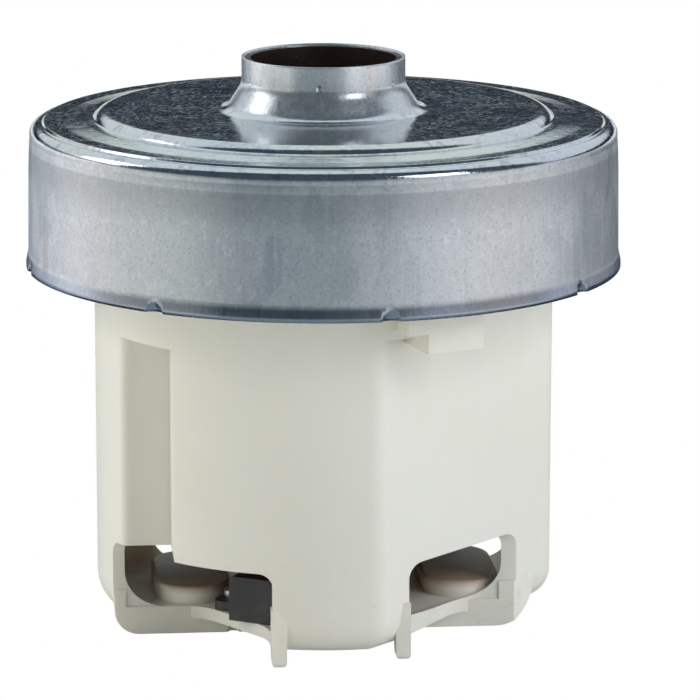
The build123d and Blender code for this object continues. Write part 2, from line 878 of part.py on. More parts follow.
def build_slot_wires():
    """The copper that fills the armature's slots between the two end heaps."""
    clearance = 2 * seat_gap
    wires = []
    pocket_r = armature_r - tooth_tip - slot_depth / 2
    for i in range(slot_count):
        section = RectangleRounded(slot_width - clearance, slot_depth - clearance, slot_width / 3 - seat_gap)
        wire = Pos(0, -pocket_r, stack_z) * extrude(section, stack_length)
        wires.append(turned(wire, i * 360 / slot_count))
    return group(wires)


def build_commutator_hub():
    inner = shaft_r + seat_gap
    outer = commutator_r - bar_depth - seat_gap
    return ring(outer, inner, commutator_z, commutator_z + commutator_length)


def build_commutator_bars():
    inner = commutator_r - bar_depth
    top = commutator_z + commutator_length
    profile = make_face(Polyline(
        (inner, commutator_z + seat_gap), (commutator_r, commutator_z + seat_gap),
        (commutator_r, top - riser_height), (riser_r, top - riser_height), (riser_r, top), (inner, top),
        close=True,
    ))
    ring_of_bars = revolved(profile)
    bars = []
    for i in range(bar_count):
        half = 180 / bar_count - math.degrees(bar_gap / 2 / commutator_r)
        middle = i * 360 / bar_count
        wedge = extrude(sector(riser_r + overrun, inner / 2, middle - half, middle + half), top + overrun)
        bars.append(ring_of_bars & wedge)
    return group(bars)


# Brush gear, drawn for an axis along -Y and then turned
def build_carbon_brush():
    half_w = brush_width / 2
    half_h = brush_height / 2
    brush = block(-half_w, half_w, -brush_end_r, -commutator_r / 2, brush_z - half_h, brush_z + half_h)
    brush -= disc(brush_start_r, brush_z - brush_height, brush_z + brush_height)
    back = brush.faces().sort_by(Axis.Y)[0]
    return chamfer(back.edges(), brush_chamfer)


def build_brush_tube():
    half_w = brush_width / 2 + brush_gap
    half_h = brush_height / 2 + brush_gap
    wall_w = half_w + brush_tube_wall
    wall_h = half_h + brush_tube_wall
    outer = block(-wall_w, wall_w, -brush_tube_end_r, -brush_tube_start_r,
                  brush_z - wall_h, brush_z + wall_h)
    inner = block(-half_w, half_w, -brush_tube_end_r - overrun, -brush_tube_start_r + overrun,
                  brush_z - half_h, brush_z + half_h)
    return outer - inner


def build_brush_plug():
    half_w = brush_width / 2 + brush_gap - seat_gap
    half_h = brush_height / 2 + brush_gap - seat_gap
    return block(-half_w, half_w, -brush_tube_end_r, -brush_plug_r, brush_z - half_h, brush_z + half_h)


def build_brush_spring():
    radius = (spring_d - spring_wire_d) / 2
    length = brush_plug_r - brush_end_r - 2 * seat_gap - spring_wire_d
    helix = Helix(length / spring_turns, length, radius)
    section = Plane(origin=helix @ 0, z_dir=helix % 0) * Circle(spring_wire_d / 2)
    coil = sweep(section, path=helix)
    return Pos(0, -brush_end_r - seat_gap - spring_wire_d / 2, brush_z) * Rot(90, 0, 0) * coil


def build_brush_holder():
    half_w = brush_width / 2 + brush_gap + brush_tube_wall + seat_gap
    half_h = brush_height / 2 + brush_gap + brush_tube_wall + seat_gap
    body_w = half_w + holder_wall
    body_top = brush_z + half_h + holder_wall / 2
    body = block(-body_w, body_w, -holder_end_r, -holder_start_r, floor_z, body_top)
    body = fillet(body.edges().filter_by(Axis.Y).group_by(Axis.Z)[-1], holder_round)
    base = block(-holder_base_width / 2, holder_base_width / 2, -holder_base_end_r, -holder_base_start_r,
                 floor_z, floor_z + holder_base_height)
    base = fillet(base.edges().filter_by(Axis.Z), holder_base_height)
    bore = block(-half_w, half_w, -holder_end_r + holder_end_wall, -holder_start_r + overrun,
                 brush_z - half_h, brush_z + half_h)
    shape = body + base - bore - terminal_plate(terminal_gap)
    middle_r = (holder_base_start_r + holder_base_end_r) / 2
    for side in (-1, 1):
        hole = extrude(Circle(small_screw_r + seat_gap), holder_base_height + 2 * overrun)
        shape -= Pos(side * holder_screw_offset, -middle_r, floor_z - overrun) * hole
    return shape


def terminal_plate(grown):
    """A flat tab on the brush tube's side that runs out through the holder for the lead to push onto."""
    low_x = brush_width / 2 + brush_gap + brush_tube_wall
    high_x = low_x + seat_gap + holder_wall + terminal_reach
    end_y = -brush_tube_end_r + terminal_setback
    half = terminal_thickness / 2 + grown
    return block(low_x - grown, high_x + grown, end_y - grown, end_y + terminal_width + grown,
                 brush_z - half, brush_z + half)


def build_screw(x, y, seat_z, length):
    shank = Pos(x, y, seat_z - length) * extrude(Circle(small_screw_r), length)
    head = Pos(x, y, seat_z) * extrude(Circle(small_head_r), small_head_height)
    cross = Rectangle(small_head_r, small_cross_width) + Rectangle(small_cross_width, small_head_r)
    slot = Pos(x, y, seat_z + small_head_height / 2) * extrude(cross, small_head_height)
    return shank + head - slot


def build_holder_screws():
    seat = floor_z + holder_base_height
    return group(build_screw(x, y, seat, small_screw_length) for x, y in holder_screw_places())


def build_retainer_screws():
    seat = upper_bearing_top_z + retainer_thickness
    return group(build_screw(x, y, seat, small_screw_length) for x, y in retainer_screw_places())


def build_bridge_screws():
    seat = hub_bottom_z + spoke_height
    return group(build_screw(x, y, seat, bridge_screw_length - seat_gap) for x, y in bridge_screw_places())


def build_upper_bearing_retainer():
    plate = ring(hub_r, retainer_inner_r, upper_bearing_top_z, upper_bearing_top_z + retainer_thickness)
    for x, y in retainer_screw_places():
        hole = extrude(Circle(small_screw_r + seat_gap), retainer_thickness + 2 * overrun)
        plate -= Pos(x, y, upper_bearing_top_z - overrun) * hole
    return plate


# Fan
def shroud_line():
    """The front shroud's outer face as radius and height, from its eye to its rim."""
    return FilletPolyline(
        (eye_r, eye_top_z),
        (eye_r, shroud_low_z() + (eye_top_z - shroud_low_z()) / 2),
        (shroud_foot_r, shroud_low_z() + (eye_top_z - shroud_low_z()) / 3),
        (fan_r, shroud_low_z()),
        radius=[shroud_round / 2, shroud_round],
    )


def shroud_low_z():
    return fan_z + 2 * plate_thickness + outlet_height


def build_front_shroud():
    line = Wire(shroud_line().edges())
    sheet_line = line.offset_2d(plate_thickness, kind=Kind.INTERSECTION, side=Side.RIGHT, closed=True)
    return revolved(make_face(sheet_line))


def build_back_plate():
    return ring(fan_r, shaft_r + seat_gap, fan_z, fan_z + plate_thickness)


def under_shroud():
    """Everything below the front shroud's inner face, as a turned solid."""
    inner = Wire(shroud_line().edges()).offset_2d(
        plate_thickness + seat_gap, kind=Kind.INTERSECTION, side=Side.RIGHT, closed=False
    )
    points = inner.edges()
    top = inner @ 0
    end = inner @ 1
    if top.Y < end.Y:
        top, end = end, top
    low = fan_z + plate_thickness
    closing = Polyline((end.X, end.Y), (end.X, low), (0, low), (0, top.Y), (top.X, top.Y))
    return revolved(make_face(Wire(points + closing.edges())))


def build_blades():
    """Backward-curved blades: each is an arc that sweeps from the eye to the rim."""
    limit = under_shroud()
    blades = []
    sweep_angle = math.radians(blade_sweep)
    bow_angle = sweep_angle * blade_bow_share
    start = Vector(0, -blade_inner_r)
    end = Vector(-blade_outer_r * math.sin(sweep_angle), -blade_outer_r * math.cos(sweep_angle))
    middle_r = (blade_inner_r + blade_outer_r) / 2
    middle = Vector(-middle_r * math.sin(bow_angle), -middle_r * math.cos(bow_angle))
    line = ThreePointArc(start, middle, end)
    strip = Wire([line]).offset_2d(blade_thickness, kind=Kind.INTERSECTION, side=Side.LEFT, closed=True)
    low = fan_z + plate_thickness
    blade = Pos(0, 0, low) * extrude(make_face(strip), eye_top_z - low)
    blade &= limit
    for i in range(fan_blade_count):
        blades.append(turned(blade, i * 360 / fan_blade_count))
    return group(blades)


def build_impeller_bush():
    low = fan_z + plate_thickness
    bush = ring(bush_r, shaft_r + seat_gap, low, low + bush_height)
    return chamfer(bush.edges().group_by(Axis.Z)[-1].sort_by(SortBy.RADIUS)[-1], bush_chamfer)


def nut_seat_z():
    return fan_z + plate_thickness + bush_height + washer_thickness


def build_washer():
    low = fan_z + plate_thickness + bush_height
    return ring(washer_r, shaft_r + seat_gap, low, low + washer_thickness)


def build_nut():
    hexagon = RegularPolygon(nut_flats / 2, 6, major_radius=False)
    return Pos(0, 0, nut_seat_z()) * extrude(hexagon - Circle(shaft_r + seat_gap), nut_height)


def build_shaft_spacer():
    return ring(spacer_r, shaft_r + seat_gap, spacer_z, fan_z)


# Diffuser
def build_diffuser():
    low = gasket_top_z
    shape = ring(diffuser_r, diffuser_hole_r, diffuser_plate_z, diffuser_plate_z + diffuser_plate_thickness)
    reach = diffuser_outer_r - diffuser_r
    for i in range(diffuser_vane_count):
        length = 2 * reach / math.cos(math.radians(diffuser_vane_lean))
        middle_r = (diffuser_r + diffuser_outer_r) / 2
        plate = Rot(0, 0, diffuser_vane_lean) * Rectangle(diffuser_vane, 2 * length)
        vane = (Pos(0, -middle_r) * plate) & (Circle(diffuser_outer_r) - Circle(diffuser_r - diffuser_vane))
        solid = Pos(0, 0, low) * extrude(vane, diffuser_top_z - low)
        shape += turned(solid, i * 360 / diffuser_vane_count)
    for i in range(return_vane_count):
        start = (0, -return_vane_inner_r)
        end_r = diffuser_r - 2 * diffuser_vane
        lean = math.radians(180 / return_vane_count)
        end = (end_r * math.sin(lean), -end_r * math.cos(lean))
        bow_r = (return_vane_inner_r + end_r) / 2
        bow_lean = lean * return_vane_bow_share
        bow = (bow_r * math.sin(bow_lean), -bow_r * math.cos(bow_lean))
        arc = ThreePointArc(start, bow, end)
        strip = Wire([arc]).offset_2d(diffuser_vane, kind=Kind.INTERSECTION, side=Side.LEFT, closed=True)
        height = diffuser_plate_z - low + diffuser_plate_thickness / 2
        vane = Pos(0, 0, low) * extrude(make_face(strip), height)
        shape += turned(vane, i * 360 / return_vane_count)
    return shape


def build_cover_gasket():
    return ring(diffuser_outer_r, gasket_inner_r, flange_top_z, gasket_top_z)


def save_pair(shape, name):
    """The same piece at the front and, turned half round, at the rear."""
    save(shape, name + "_front")
    save(turned(shape, 180), name + "_rear")


def main():
    save(build_fan_cover(), "fan_cover")
    save(build_inlet_seal_ring(), "inlet_seal_ring")
    save(build_cover_gasket(), "cover_gasket")
    save(build_diffuser(), "diffuser")
    save(build_motor_housing(), "motor_housing")
    save(build_bearing_bridge(), "bearing_bridge")
    save(build_bridge_screws(), "bridge_screws")
    save(build_stator_core(), "stator_core")
    save_pair(build_pole_insulator(), "pole_insulator")
    save_pair(build_field_coil_core(), "field_coil_core")
    save_pair(build_field_coil_wire(), "field_coil_wire")
    print_field_wire_gap()
    save(build_stator_screws(), "stator_screws")
    save_pair(turned(build_brush_holder(), brush_azimuth), "brush_holder")
    save_pair(turned(build_brush_tube(), brush_azimuth), "brush_tube")
    save_pair(turned(build_carbon_brush(), brush_azimuth), "carbon_brush")
    save_pair(turned(build_brush_spring(), brush_azimuth), "brush_spring")
    save_pair(turned(build_brush_plug(), brush_azimuth), "brush_plug")
    save_pair(turned(terminal_plate(0), brush_azimuth), "brush_terminal")
    save(build_holder_screws(), "brush_holder_screws")
    save(build_rotor_shaft(), "rotor_shaft")
    save(build_armature_core(), "armature_core")
    save(build_slot_wires(), "armature_slot_wires")
    low_from = stack_z - end_insulator_thickness
    high_from = stack_top_z + end_insulator_thickness
    save(build_armature_end_insulator(low_from), "armature_insulator_lower")
    save(build_armature_end_insulator(stack_top_z), "armature_insulator_upper")
    save(build_winding(low_from, winding_low_z), "armature_winding_lower")
    save(build_winding(high_from, winding_high_z), "armature_winding_upper")
    save(build_commutator_hub(), "commutator_hub")
    save(build_commutator_bars(), "commutator_bars")
    lower = build_bearing(shaft_r + seat_gap, lower_bearing_r, lower_bearing_width, lower_bearing_z,
                          lower_ball_r, lower_ball_count)
    save_bearing("lower_bearing", lower)
    upper = build_bearing(shaft_r + seat_gap, upper_bearing_r, upper_bearing_width, upper_bearing_z,
                          upper_ball_r, upper_ball_count)
    save_bearing("upper_bearing", upper)
    cushion_r = lower_bearing_r + seat_gap
    save(ring(cushion_r + cushion_thickness, cushion_r, lower_bearing_z, lower_bearing_top_z),
         "lower_bearing_cushion")
    washer_z = upper_bearing_z - preload_washer_thickness
    save(ring(upper_bearing_r - seat_gap, hub_lip_r + wall / 2, washer_z, upper_bearing_z), "preload_washer")
    save(build_upper_bearing_retainer(), "upper_bearing_retainer")
    save(build_retainer_screws(), "retainer_screws")
    save(build_back_plate(), "impeller_back_plate")
    save(build_blades(), "impeller_blades")
    save(build_front_shroud(), "impeller_front_shroud")
    save(build_impeller_bush(), "impeller_bush")
    save(build_washer(), "impeller_washer")
    save(build_nut(), "impeller_nut")
    save(build_shaft_spacer(), "shaft_spacer")


main()
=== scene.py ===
import json
import math

import bpy
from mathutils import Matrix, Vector

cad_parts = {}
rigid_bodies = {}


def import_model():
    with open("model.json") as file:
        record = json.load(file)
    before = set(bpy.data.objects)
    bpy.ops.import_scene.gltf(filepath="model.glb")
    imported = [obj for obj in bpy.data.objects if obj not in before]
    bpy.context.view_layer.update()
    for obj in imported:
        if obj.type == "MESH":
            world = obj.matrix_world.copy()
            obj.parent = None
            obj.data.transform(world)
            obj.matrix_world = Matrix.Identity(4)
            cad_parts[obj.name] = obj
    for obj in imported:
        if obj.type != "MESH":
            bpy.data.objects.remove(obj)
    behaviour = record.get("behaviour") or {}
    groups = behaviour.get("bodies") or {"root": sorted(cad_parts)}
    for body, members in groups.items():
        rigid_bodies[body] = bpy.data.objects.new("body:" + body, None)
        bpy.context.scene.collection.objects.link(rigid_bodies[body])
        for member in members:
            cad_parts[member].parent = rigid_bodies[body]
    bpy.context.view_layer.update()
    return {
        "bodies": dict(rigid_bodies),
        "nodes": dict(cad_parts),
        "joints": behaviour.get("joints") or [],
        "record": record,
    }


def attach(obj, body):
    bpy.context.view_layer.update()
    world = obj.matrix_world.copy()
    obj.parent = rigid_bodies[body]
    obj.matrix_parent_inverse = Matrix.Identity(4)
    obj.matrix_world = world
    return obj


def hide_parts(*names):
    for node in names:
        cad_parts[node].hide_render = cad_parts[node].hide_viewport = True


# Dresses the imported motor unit: materials on the CAD nodes, a smooth fan cover, wound coils and a studio.
# Metres, +Z up, -Y towards the camera. Azimuths are in degrees from -Y towards +X.

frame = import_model()
nodes = frame["nodes"]


# Node materials
class Paint:
    """One node material, built up from textures in the object's own coordinates."""

    def __init__(self, name):
        self.mat = bpy.data.materials.new(name)
        self.mat.use_nodes = True
        self.tree = self.mat.node_tree
        self.tree.nodes.clear()
        out = self.tree.nodes.new("ShaderNodeOutputMaterial")
        self.shader = self.tree.nodes.new("ShaderNodeBsdfPrincipled")
        self.tree.links.new(self.shader.outputs["BSDF"], out.inputs["Surface"])
        self.coordinates = self.tree.nodes.new("ShaderNodeTexCoord").outputs["Object"]

    def link(self, value, socket):
        if isinstance(value, bpy.types.NodeSocket):
            self.tree.links.new(value, socket)
        elif isinstance(value, (tuple, list)) and len(value) == 3 and socket.type == "RGBA":
            socket.default_value = (*value, 1)
        else:
            socket.default_value = value

    def set(self, **sockets):
        names = {
            "color": "Base Color", "rough": "Roughness", "metal": "Metallic", "normal": "Normal",
            "coat": "Coat Weight", "coat_rough": "Coat Roughness", "specular": "Specular IOR Level",
            "subsurface": "Subsurface Weight", "subsurface_radius": "Subsurface Radius",
            "subsurface_scale": "Subsurface Scale",
        }
        for key, value in sockets.items():
            self.link(value, self.shader.inputs[names[key]])

    def stretched(self, stretch):
        node = self.tree.nodes.new("ShaderNodeMapping")
        node.inputs["Scale"].default_value = stretch
        self.tree.links.new(self.coordinates, node.inputs["Vector"])
        return node.outputs["Vector"]

    def noise(self, scale, stretch=(1, 1, 1), detail=3.0, rough=0.5, distortion=0.0):
        node = self.tree.nodes.new("ShaderNodeTexNoise")
        node.inputs["Scale"].default_value = scale
        node.inputs["Detail"].default_value = detail
        node.inputs["Roughness"].default_value = rough
        node.inputs["Distortion"].default_value = distortion
        self.tree.links.new(self.stretched(stretch), node.inputs["Vector"])
        return node.outputs["Fac"]

    def cells(self, scale, stretch):
        """Cells that each have one random grey."""
        node = self.tree.nodes.new("ShaderNodeTexVoronoi")
        node.inputs["Scale"].default_value = scale
        self.tree.links.new(self.stretched(stretch), node.inputs["Vector"])
        return self.times(node.outputs["Color"], 1.0)

    def axes(self):
        node = self.tree.nodes.new("ShaderNodeSeparateXYZ")
        self.tree.links.new(self.coordinates, node.inputs["Vector"])
        return node.outputs["X"], node.outputs["Y"], node.outputs["Z"]

    def height(self):
        """The object's own Z, in metres."""
        return self.axes()[2]

    def radius(self):
        """The distance from the motor's axis, in metres."""
        x, y, _ = self.axes()
        return self.math("SQRT", self.plus(self.times(x, x), self.times(y, y)))

    def math(self, operation, a, b=0.0, clamp=False):
        node = self.tree.nodes.new("ShaderNodeMath")
        node.operation = operation
        node.use_clamp = clamp
        for value, socket in zip((a, b), node.inputs):
            self.link(value, socket)
        return node.outputs["Value"]

    def times(self, a, b, clamp=False):
        return self.math("MULTIPLY", a, b, clamp)

    def plus(self, a, b):
        return self.math("ADD", a, b)

    def minus(self, a, b):
        return self.math("SUBTRACT", a, b)

    def reach(self, value, low, high, to_low=0.0, to_high=1.0, smooth=False):
        """Maps value from low..high to to_low..to_high, held at both ends."""
        node = self.tree.nodes.new("ShaderNodeMapRange")
        node.interpolation_type = "SMOOTHSTEP" if smooth else "LINEAR"
        self.link(value, node.inputs["Value"])
        for name, number in (("From Min", low), ("From Max", high), ("To Min", to_low), ("To Max", to_high)):
            node.inputs[name].default_value = number
        return node.outputs["Result"]

    def mix(self, factor, first, second):
        node = self.tree.nodes.new("ShaderNodeMix")
        node.data_type = "RGBA"
        self.link(factor, node.inputs["Factor"])
        self.link(first, node.inputs[6])
        self.link(second, node.inputs[7])
        return node.outputs[2]

    def bump(self, height, strength, distance, under=None):
        node = self.tree.nodes.new("ShaderNodeBump")
        node.inputs["Strength"].default_value = strength
        node.inputs["Distance"].default_value = distance
        self.tree.links.new(height, node.inputs["Height"])
        if under is not None:
            self.tree.links.new(under, node.inputs["Normal"])
        return node.outputs["Normal"]


# Where the sheet's finish changes, in metres, and the band under the top where a dark reflection is painted
# into the wall's colour. Each mask turns from none at the first number to full at the second, and the stains
# fade upwards through STAINED_Z.
LID_FROM_Z = (0.1131, 0.1139)
LID_FROM_R = (0.0208, 0.0226)
COLLAR_WITHIN_R = (0.0230, 0.0210)
FLARE_FROM_Z = (0.1185, 0.1195)
FLARE_WITHIN_R = (0.0235, 0.0225)
# The band under the top where a dark reflection is painted into the wall.
DARK_REFLECTION_FROM_Z = (0.1000, 0.1090)
DARK_REFLECTION_UNDER_Z = (0.1106, 0.1102)
RIM_UNDER_Z = (0.0862, 0.0850)
STAINED_Z = (0.083, 0.104)

ZINC_DARK = (0.50, 0.535, 0.57)
ZINC_PALE = (0.68, 0.705, 0.73)
ZINC_CLOUD = (0.48, 0.515, 0.55)
ZINC_STREAK = (0.73, 0.75, 0.76)
ZINC_SPECK = (0.34, 0.37, 0.42)
ZINC_GLINT = (0.84, 0.86, 0.88)
STAIN = (0.42, 0.38, 0.31)
DARK_REFLECTION_GREY = (0.22, 0.24, 0.25)
RIM_BLUE = (0.20, 0.24, 0.31)
LID_BLUE = (0.58, 0.62, 0.68)
LID_GREY = (0.65, 0.67, 0.66)
LID_SCRATCH = (0.78, 0.80, 0.82)
LID_BLOTCH = (0.36, 0.39, 0.47)


def galvanised():
    """Drawn galvanised sheet: a matt mottled wall and collar with a dark reflection painted in a band under
    the top, and a darker, glossier, scratched top.
    """
    p = Paint("galvanised_sheet")
    z = p.height()
    across = p.radius()
    top = p.times(p.reach(z, *LID_FROM_Z, smooth=True), p.reach(across, *LID_FROM_R, smooth=True))
    collar = p.reach(across, *COLLAR_WITHIN_R, smooth=True)
    rim = p.reach(z, *RIM_UNDER_Z, smooth=True)
    # Painted reflection: the wall turns towards dark grey in a band just under the top.
    painted_dark_reflection = p.times(p.reach(z, *DARK_REFLECTION_FROM_Z, smooth=True), p.reach(z, *DARK_REFLECTION_UNDER_Z))
    flare = p.times(p.reach(z, *FLARE_FROM_Z), p.reach(across, *FLARE_WITHIN_R))

    spangle = p.cells(210, (1, 1, 0.55))
    cloud = p.noise(60, (1, 1, 0.5), detail=4, rough=0.6)
    streak = p.noise(900, (1, 1, 0.03), detail=4, rough=0.65)
    fine = p.noise(2600, (1, 1, 0.02), detail=2)
    speckle = p.noise(1500, detail=4, rough=0.75)
    glint = p.noise(700, (1, 1, 0.8), detail=5, rough=0.8)
    stain = p.times(p.reach(p.noise(260, (1, 1, 0.035), detail=3), 0.58, 0.72),
                    p.reach(z, *STAINED_Z, 0.7, 0.15), clamp=True)
    wall = p.mix(p.reach(spangle, 0.1, 0.9), ZINC_DARK, ZINC_PALE)
    for mask, color in ((p.reach(cloud, 0.35, 0.65, 0.0, 0.55), ZINC_CLOUD),
                        (p.reach(streak, 0.35, 0.75, 0.0, 0.55), ZINC_STREAK),
                        (p.reach(speckle, 0.52, 0.66, 0.0, 0.62), ZINC_SPECK),
                        (p.reach(glint, 0.54, 0.66, 0.0, 0.5), ZINC_GLINT),
                        (p.times(stain, 0.8), STAIN), (p.times(painted_dark_reflection, 0.34), DARK_REFLECTION_GREY),
                        (p.times(rim, 0.75), RIM_BLUE)):
        wall = p.mix(mask, wall, color)
    rough_wall = p.plus(p.reach(spangle, 0.0, 1.0, 0.42, 0.52), p.reach(streak, 0.3, 0.7, -0.03, 0.05))
    for drawn in (collar, rim):
        rough_wall = p.minus(rough_wall, p.times(drawn, 0.20))

    worn = p.reach(p.noise(75, detail=5, rough=0.7, distortion=0.8), 0.38, 0.60, 0.35, 1.0)
    marks = p.times(p.reach(p.noise(900, detail=5, rough=0.8), 0.50, 0.60), worn)
    blotches = p.reach(p.noise(330, detail=4, rough=0.7), 0.52, 0.66, 0.0, 0.65)
    lid = p.mix(p.reach(p.noise(26, detail=2), 0.38, 0.62), LID_BLUE, LID_GREY)
    lid = p.mix(p.times(marks, 0.6), lid, LID_SCRATCH)
    lid = p.mix(blotches, lid, LID_BLOTCH)
    rough_top = p.plus(p.times(marks, 0.15), 0.075)

    p.set(color=p.mix(top, wall, lid), metal=p.minus(1.0, p.times(flare, 0.15)),
          rough=p.plus(p.times(top, rough_top), p.times(p.minus(1.0, top), rough_wall)))
    grain = p.bump(streak, 0.12, 0.0002)
    grain = p.bump(fine, 0.06, 0.0001, grain)
    grain = p.bump(speckle, 0.10, 0.00008, grain)
    p.set(normal=p.bump(cloud, 0.25, 0.0006, grain))
    return p.mat


CREAM_DEEP = (0.835, 0.812, 0.715)
CREAM_PALE = (0.855, 0.834, 0.750)
CREAM_FLOW = (0.90, 0.89, 0.84)
GRIME = (0.42, 0.35, 0.25)
# Painted shade: the warm brown mixed into faces inside the housing, and where that inside begins.
PAINTED_INSIDE_SHADE = (0.44, 0.31, 0.19)
GRIMY_Z = (0.002, 0.030)
INSIDE_WITHIN_R = (0.0408, 0.0390)
INSIDE_FROM_Z = (0.0085, 0.0105)


def cream_plastic():
    """Moulded cream plastic with faint flow lines, grime near the feet and warm brown shade painted on the
    inside.
    """
    p = Paint("cream_plastic")
    cloud = p.noise(28, detail=3)
    flow = p.noise(220, (1, 1, 0.08), detail=3, rough=0.6)
    z = p.height()
    color = p.mix(p.reach(cloud, 0.35, 0.65), CREAM_DEEP, CREAM_PALE)
    color = p.mix(p.reach(flow, 0.45, 0.75, 0.0, 0.12), color, CREAM_FLOW)
    grime = p.times(p.reach(p.noise(140, detail=5, rough=0.7), 0.60, 0.74), p.reach(z, *GRIMY_Z, 0.28, 0.03))
    color = p.mix(grime, color, GRIME)
    # Painted shade: faces inside the housing, close to the axis and above the foot, are tinted warm brown.
    inside = p.times(p.reach(p.radius(), *INSIDE_WITHIN_R), p.reach(z, *INSIDE_FROM_Z))
    color = p.mix(p.times(inside, 0.92), color, PAINTED_INSIDE_SHADE)
    p.set(color=color, rough=p.reach(p.noise(420, detail=3), 0.3, 0.7, 0.36, 0.50))
    p.set(subsurface=0.18, subsurface_scale=0.004, subsurface_radius=(1.0, 0.72, 0.42), specular=0.42)
    skin = p.bump(p.noise(2400, detail=2), 0.10, 0.0001)
    p.set(normal=p.bump(p.noise(90, detail=2), 0.10, 0.0008, skin))
    return p.mat


def metal(name, color, rough, grain=(1, 1, 1), scale=900, spread=0.08, bump=0.08):
    """A bare metal with a fine grain: stretched along whichever axes grain makes small."""
    p = Paint(name)
    grain_noise = p.noise(scale, grain, detail=4, rough=0.6)
    cloud = p.noise(120, detail=3)
    dark = tuple(c * 0.80 for c in color)
    shade = p.mix(p.reach(grain_noise, 0.3, 0.7), dark, color)
    shade = p.mix(p.reach(cloud, 0.4, 0.7, 0.0, 0.4), shade, tuple(c * 0.70 for c in color))
    p.set(color=shade, metal=1.0, rough=p.reach(grain_noise, 0.3, 0.7, rough, rough + spread))
    p.set(normal=p.bump(grain_noise, bump, 0.0002))
    return p.mat


def plastic(name, color, rough, bump=0.12, worn=None):
    """Plastic, rubber or carbon: cloudy patches of a worn colour over a fine grain."""
    p = Paint(name)
    cloud = p.noise(140, detail=4, rough=0.6)
    worn = worn or tuple(min(1.0, c * 1.6 + 0.01) for c in color)
    p.set(color=p.mix(p.reach(cloud, 0.45, 0.75, 0.0, 0.5), color, worn))
    p.set(rough=p.reach(p.noise(500, detail=3), 0.3, 0.7, rough, rough + 0.12))
    p.set(normal=p.bump(p.noise(1800, detail=2), bump, 0.0001))
    return p.mat


def laminations(name, color):
    """Stacked sheets: fine level lines with a little rust and varnish between them."""
    p = Paint(name)
    lines = p.noise(2200, (0.02, 0.02, 1), detail=1)
    patch = p.noise(180, detail=4, rough=0.65)
    shade = p.mix(p.reach(lines, 0.35, 0.65), tuple(c * 0.5 for c in color), color)
    shade = p.mix(p.reach(patch, 0.55, 0.75, 0.0, 0.5), shade, (0.16, 0.10, 0.06))
    p.set(color=shade, metal=p.reach(patch, 0.5, 0.75, 0.95, 0.6), rough=p.reach(lines, 0.3, 0.7, 0.38, 0.58))
    p.set(normal=p.bump(lines, 0.5, 0.0003))
    return p.mat


def enamel(name, color):
    """Enamelled copper wire under a clear varnish."""
    p = Paint(name)
    cloud = p.noise(240, detail=4, rough=0.6)
    shade = p.mix(p.reach(cloud, 0.4, 0.7), color, tuple(c * 0.45 for c in color))
    p.set(color=shade, metal=0.35, rough=p.reach(cloud, 0.3, 0.7, 0.24, 0.36), coat=0.8, coat_rough=0.12)
    p.set(normal=p.bump(p.noise(1500, detail=2), 0.08, 0.0001))
    return p.mat


def dress(material, *names):
    """Gives the named CAD nodes this material in each of their slots."""
    for name in names:
        for slot in nodes[name].material_slots:
            slot.material = material


dress(plastic("seal_rubber", (0.022, 0.015, 0.012), 0.18, bump=0.05), "inlet_seal_ring")
dress(plastic("gasket_rubber", (0.03, 0.03, 0.03), 0.6), "cover_gasket")
dress(plastic("cushion_rubber", (0.02, 0.02, 0.02), 0.6), "lower_bearing_cushion")
dress(plastic("diffuser_plastic", (0.05, 0.045, 0.04), 0.42), "diffuser")
dress(cream_plastic(), "motor_housing", "bearing_bridge")
dress(laminations("stator_laminations", (0.36, 0.37, 0.39)), "stator_core")
dress(laminations("armature_laminations", (0.34, 0.35, 0.37)), "armature_core")
dress(metal("zinc_screw", (0.62, 0.63, 0.62), 0.28), "stator_screws", "brush_holder_screws",
      "retainer_screws", "bridge_screws")
dress(metal("ground_shaft", (0.62, 0.62, 0.63), 0.22, grain=(0.05, 0.05, 1), scale=2500), "rotor_shaft")
dress(metal("turned_spacer", (0.55, 0.55, 0.56), 0.26, grain=(0.05, 0.05, 1), scale=2500), "shaft_spacer")
dress(plastic("slot_insulator", (0.70, 0.66, 0.52), 0.5), "armature_insulator_lower",
      "armature_insulator_upper")
dress(plastic("pole_insulator", (0.78, 0.75, 0.66), 0.45), "pole_insulator_front", "pole_insulator_rear")
dress(plastic("commutator_resin", (0.06, 0.03, 0.02), 0.35), "commutator_hub")
dress(metal("commutator_copper", (0.66, 0.33, 0.19), 0.24, grain=(0.1, 0.1, 1), scale=3000),
      "commutator_bars")
dress(metal("washer_steel", (0.56, 0.57, 0.56), 0.30), "preload_washer", "upper_bearing_retainer",
      "impeller_washer")
dress(metal("nut_steel", (0.60, 0.58, 0.50), 0.28), "impeller_nut")
dress(metal("spun_aluminium", (0.74, 0.75, 0.76), 0.30, grain=(1, 1, 0.2)), "impeller_back_plate",
      "impeller_blades", "impeller_front_shroud")
dress(metal("turned_aluminium", (0.68, 0.69, 0.70), 0.26, grain=(0.05, 0.05, 1), scale=2200), "impeller_bush")
dress(metal("bearing_steel", (0.66, 0.66, 0.67), 0.14, grain=(0.05, 0.05, 1), scale=3000),
      "lower_bearing_outer_race", "lower_bearing_inner_race", "upper_bearing_outer_race",
      "upper_bearing_inner_race")
dress(metal("ball_steel", (0.72, 0.72, 0.73), 0.06, spread=0.03, bump=0.02),
      "lower_bearing_balls", "upper_bearing_balls")
dress(metal("pressed_cage", (0.58, 0.56, 0.52), 0.30), "lower_bearing_cage", "upper_bearing_cage")
dress(metal("bearing_shield", (0.52, 0.52, 0.53), 0.32, grain=(0.05, 0.05, 1), scale=2500),
      "lower_bearing_shields", "upper_bearing_shields")
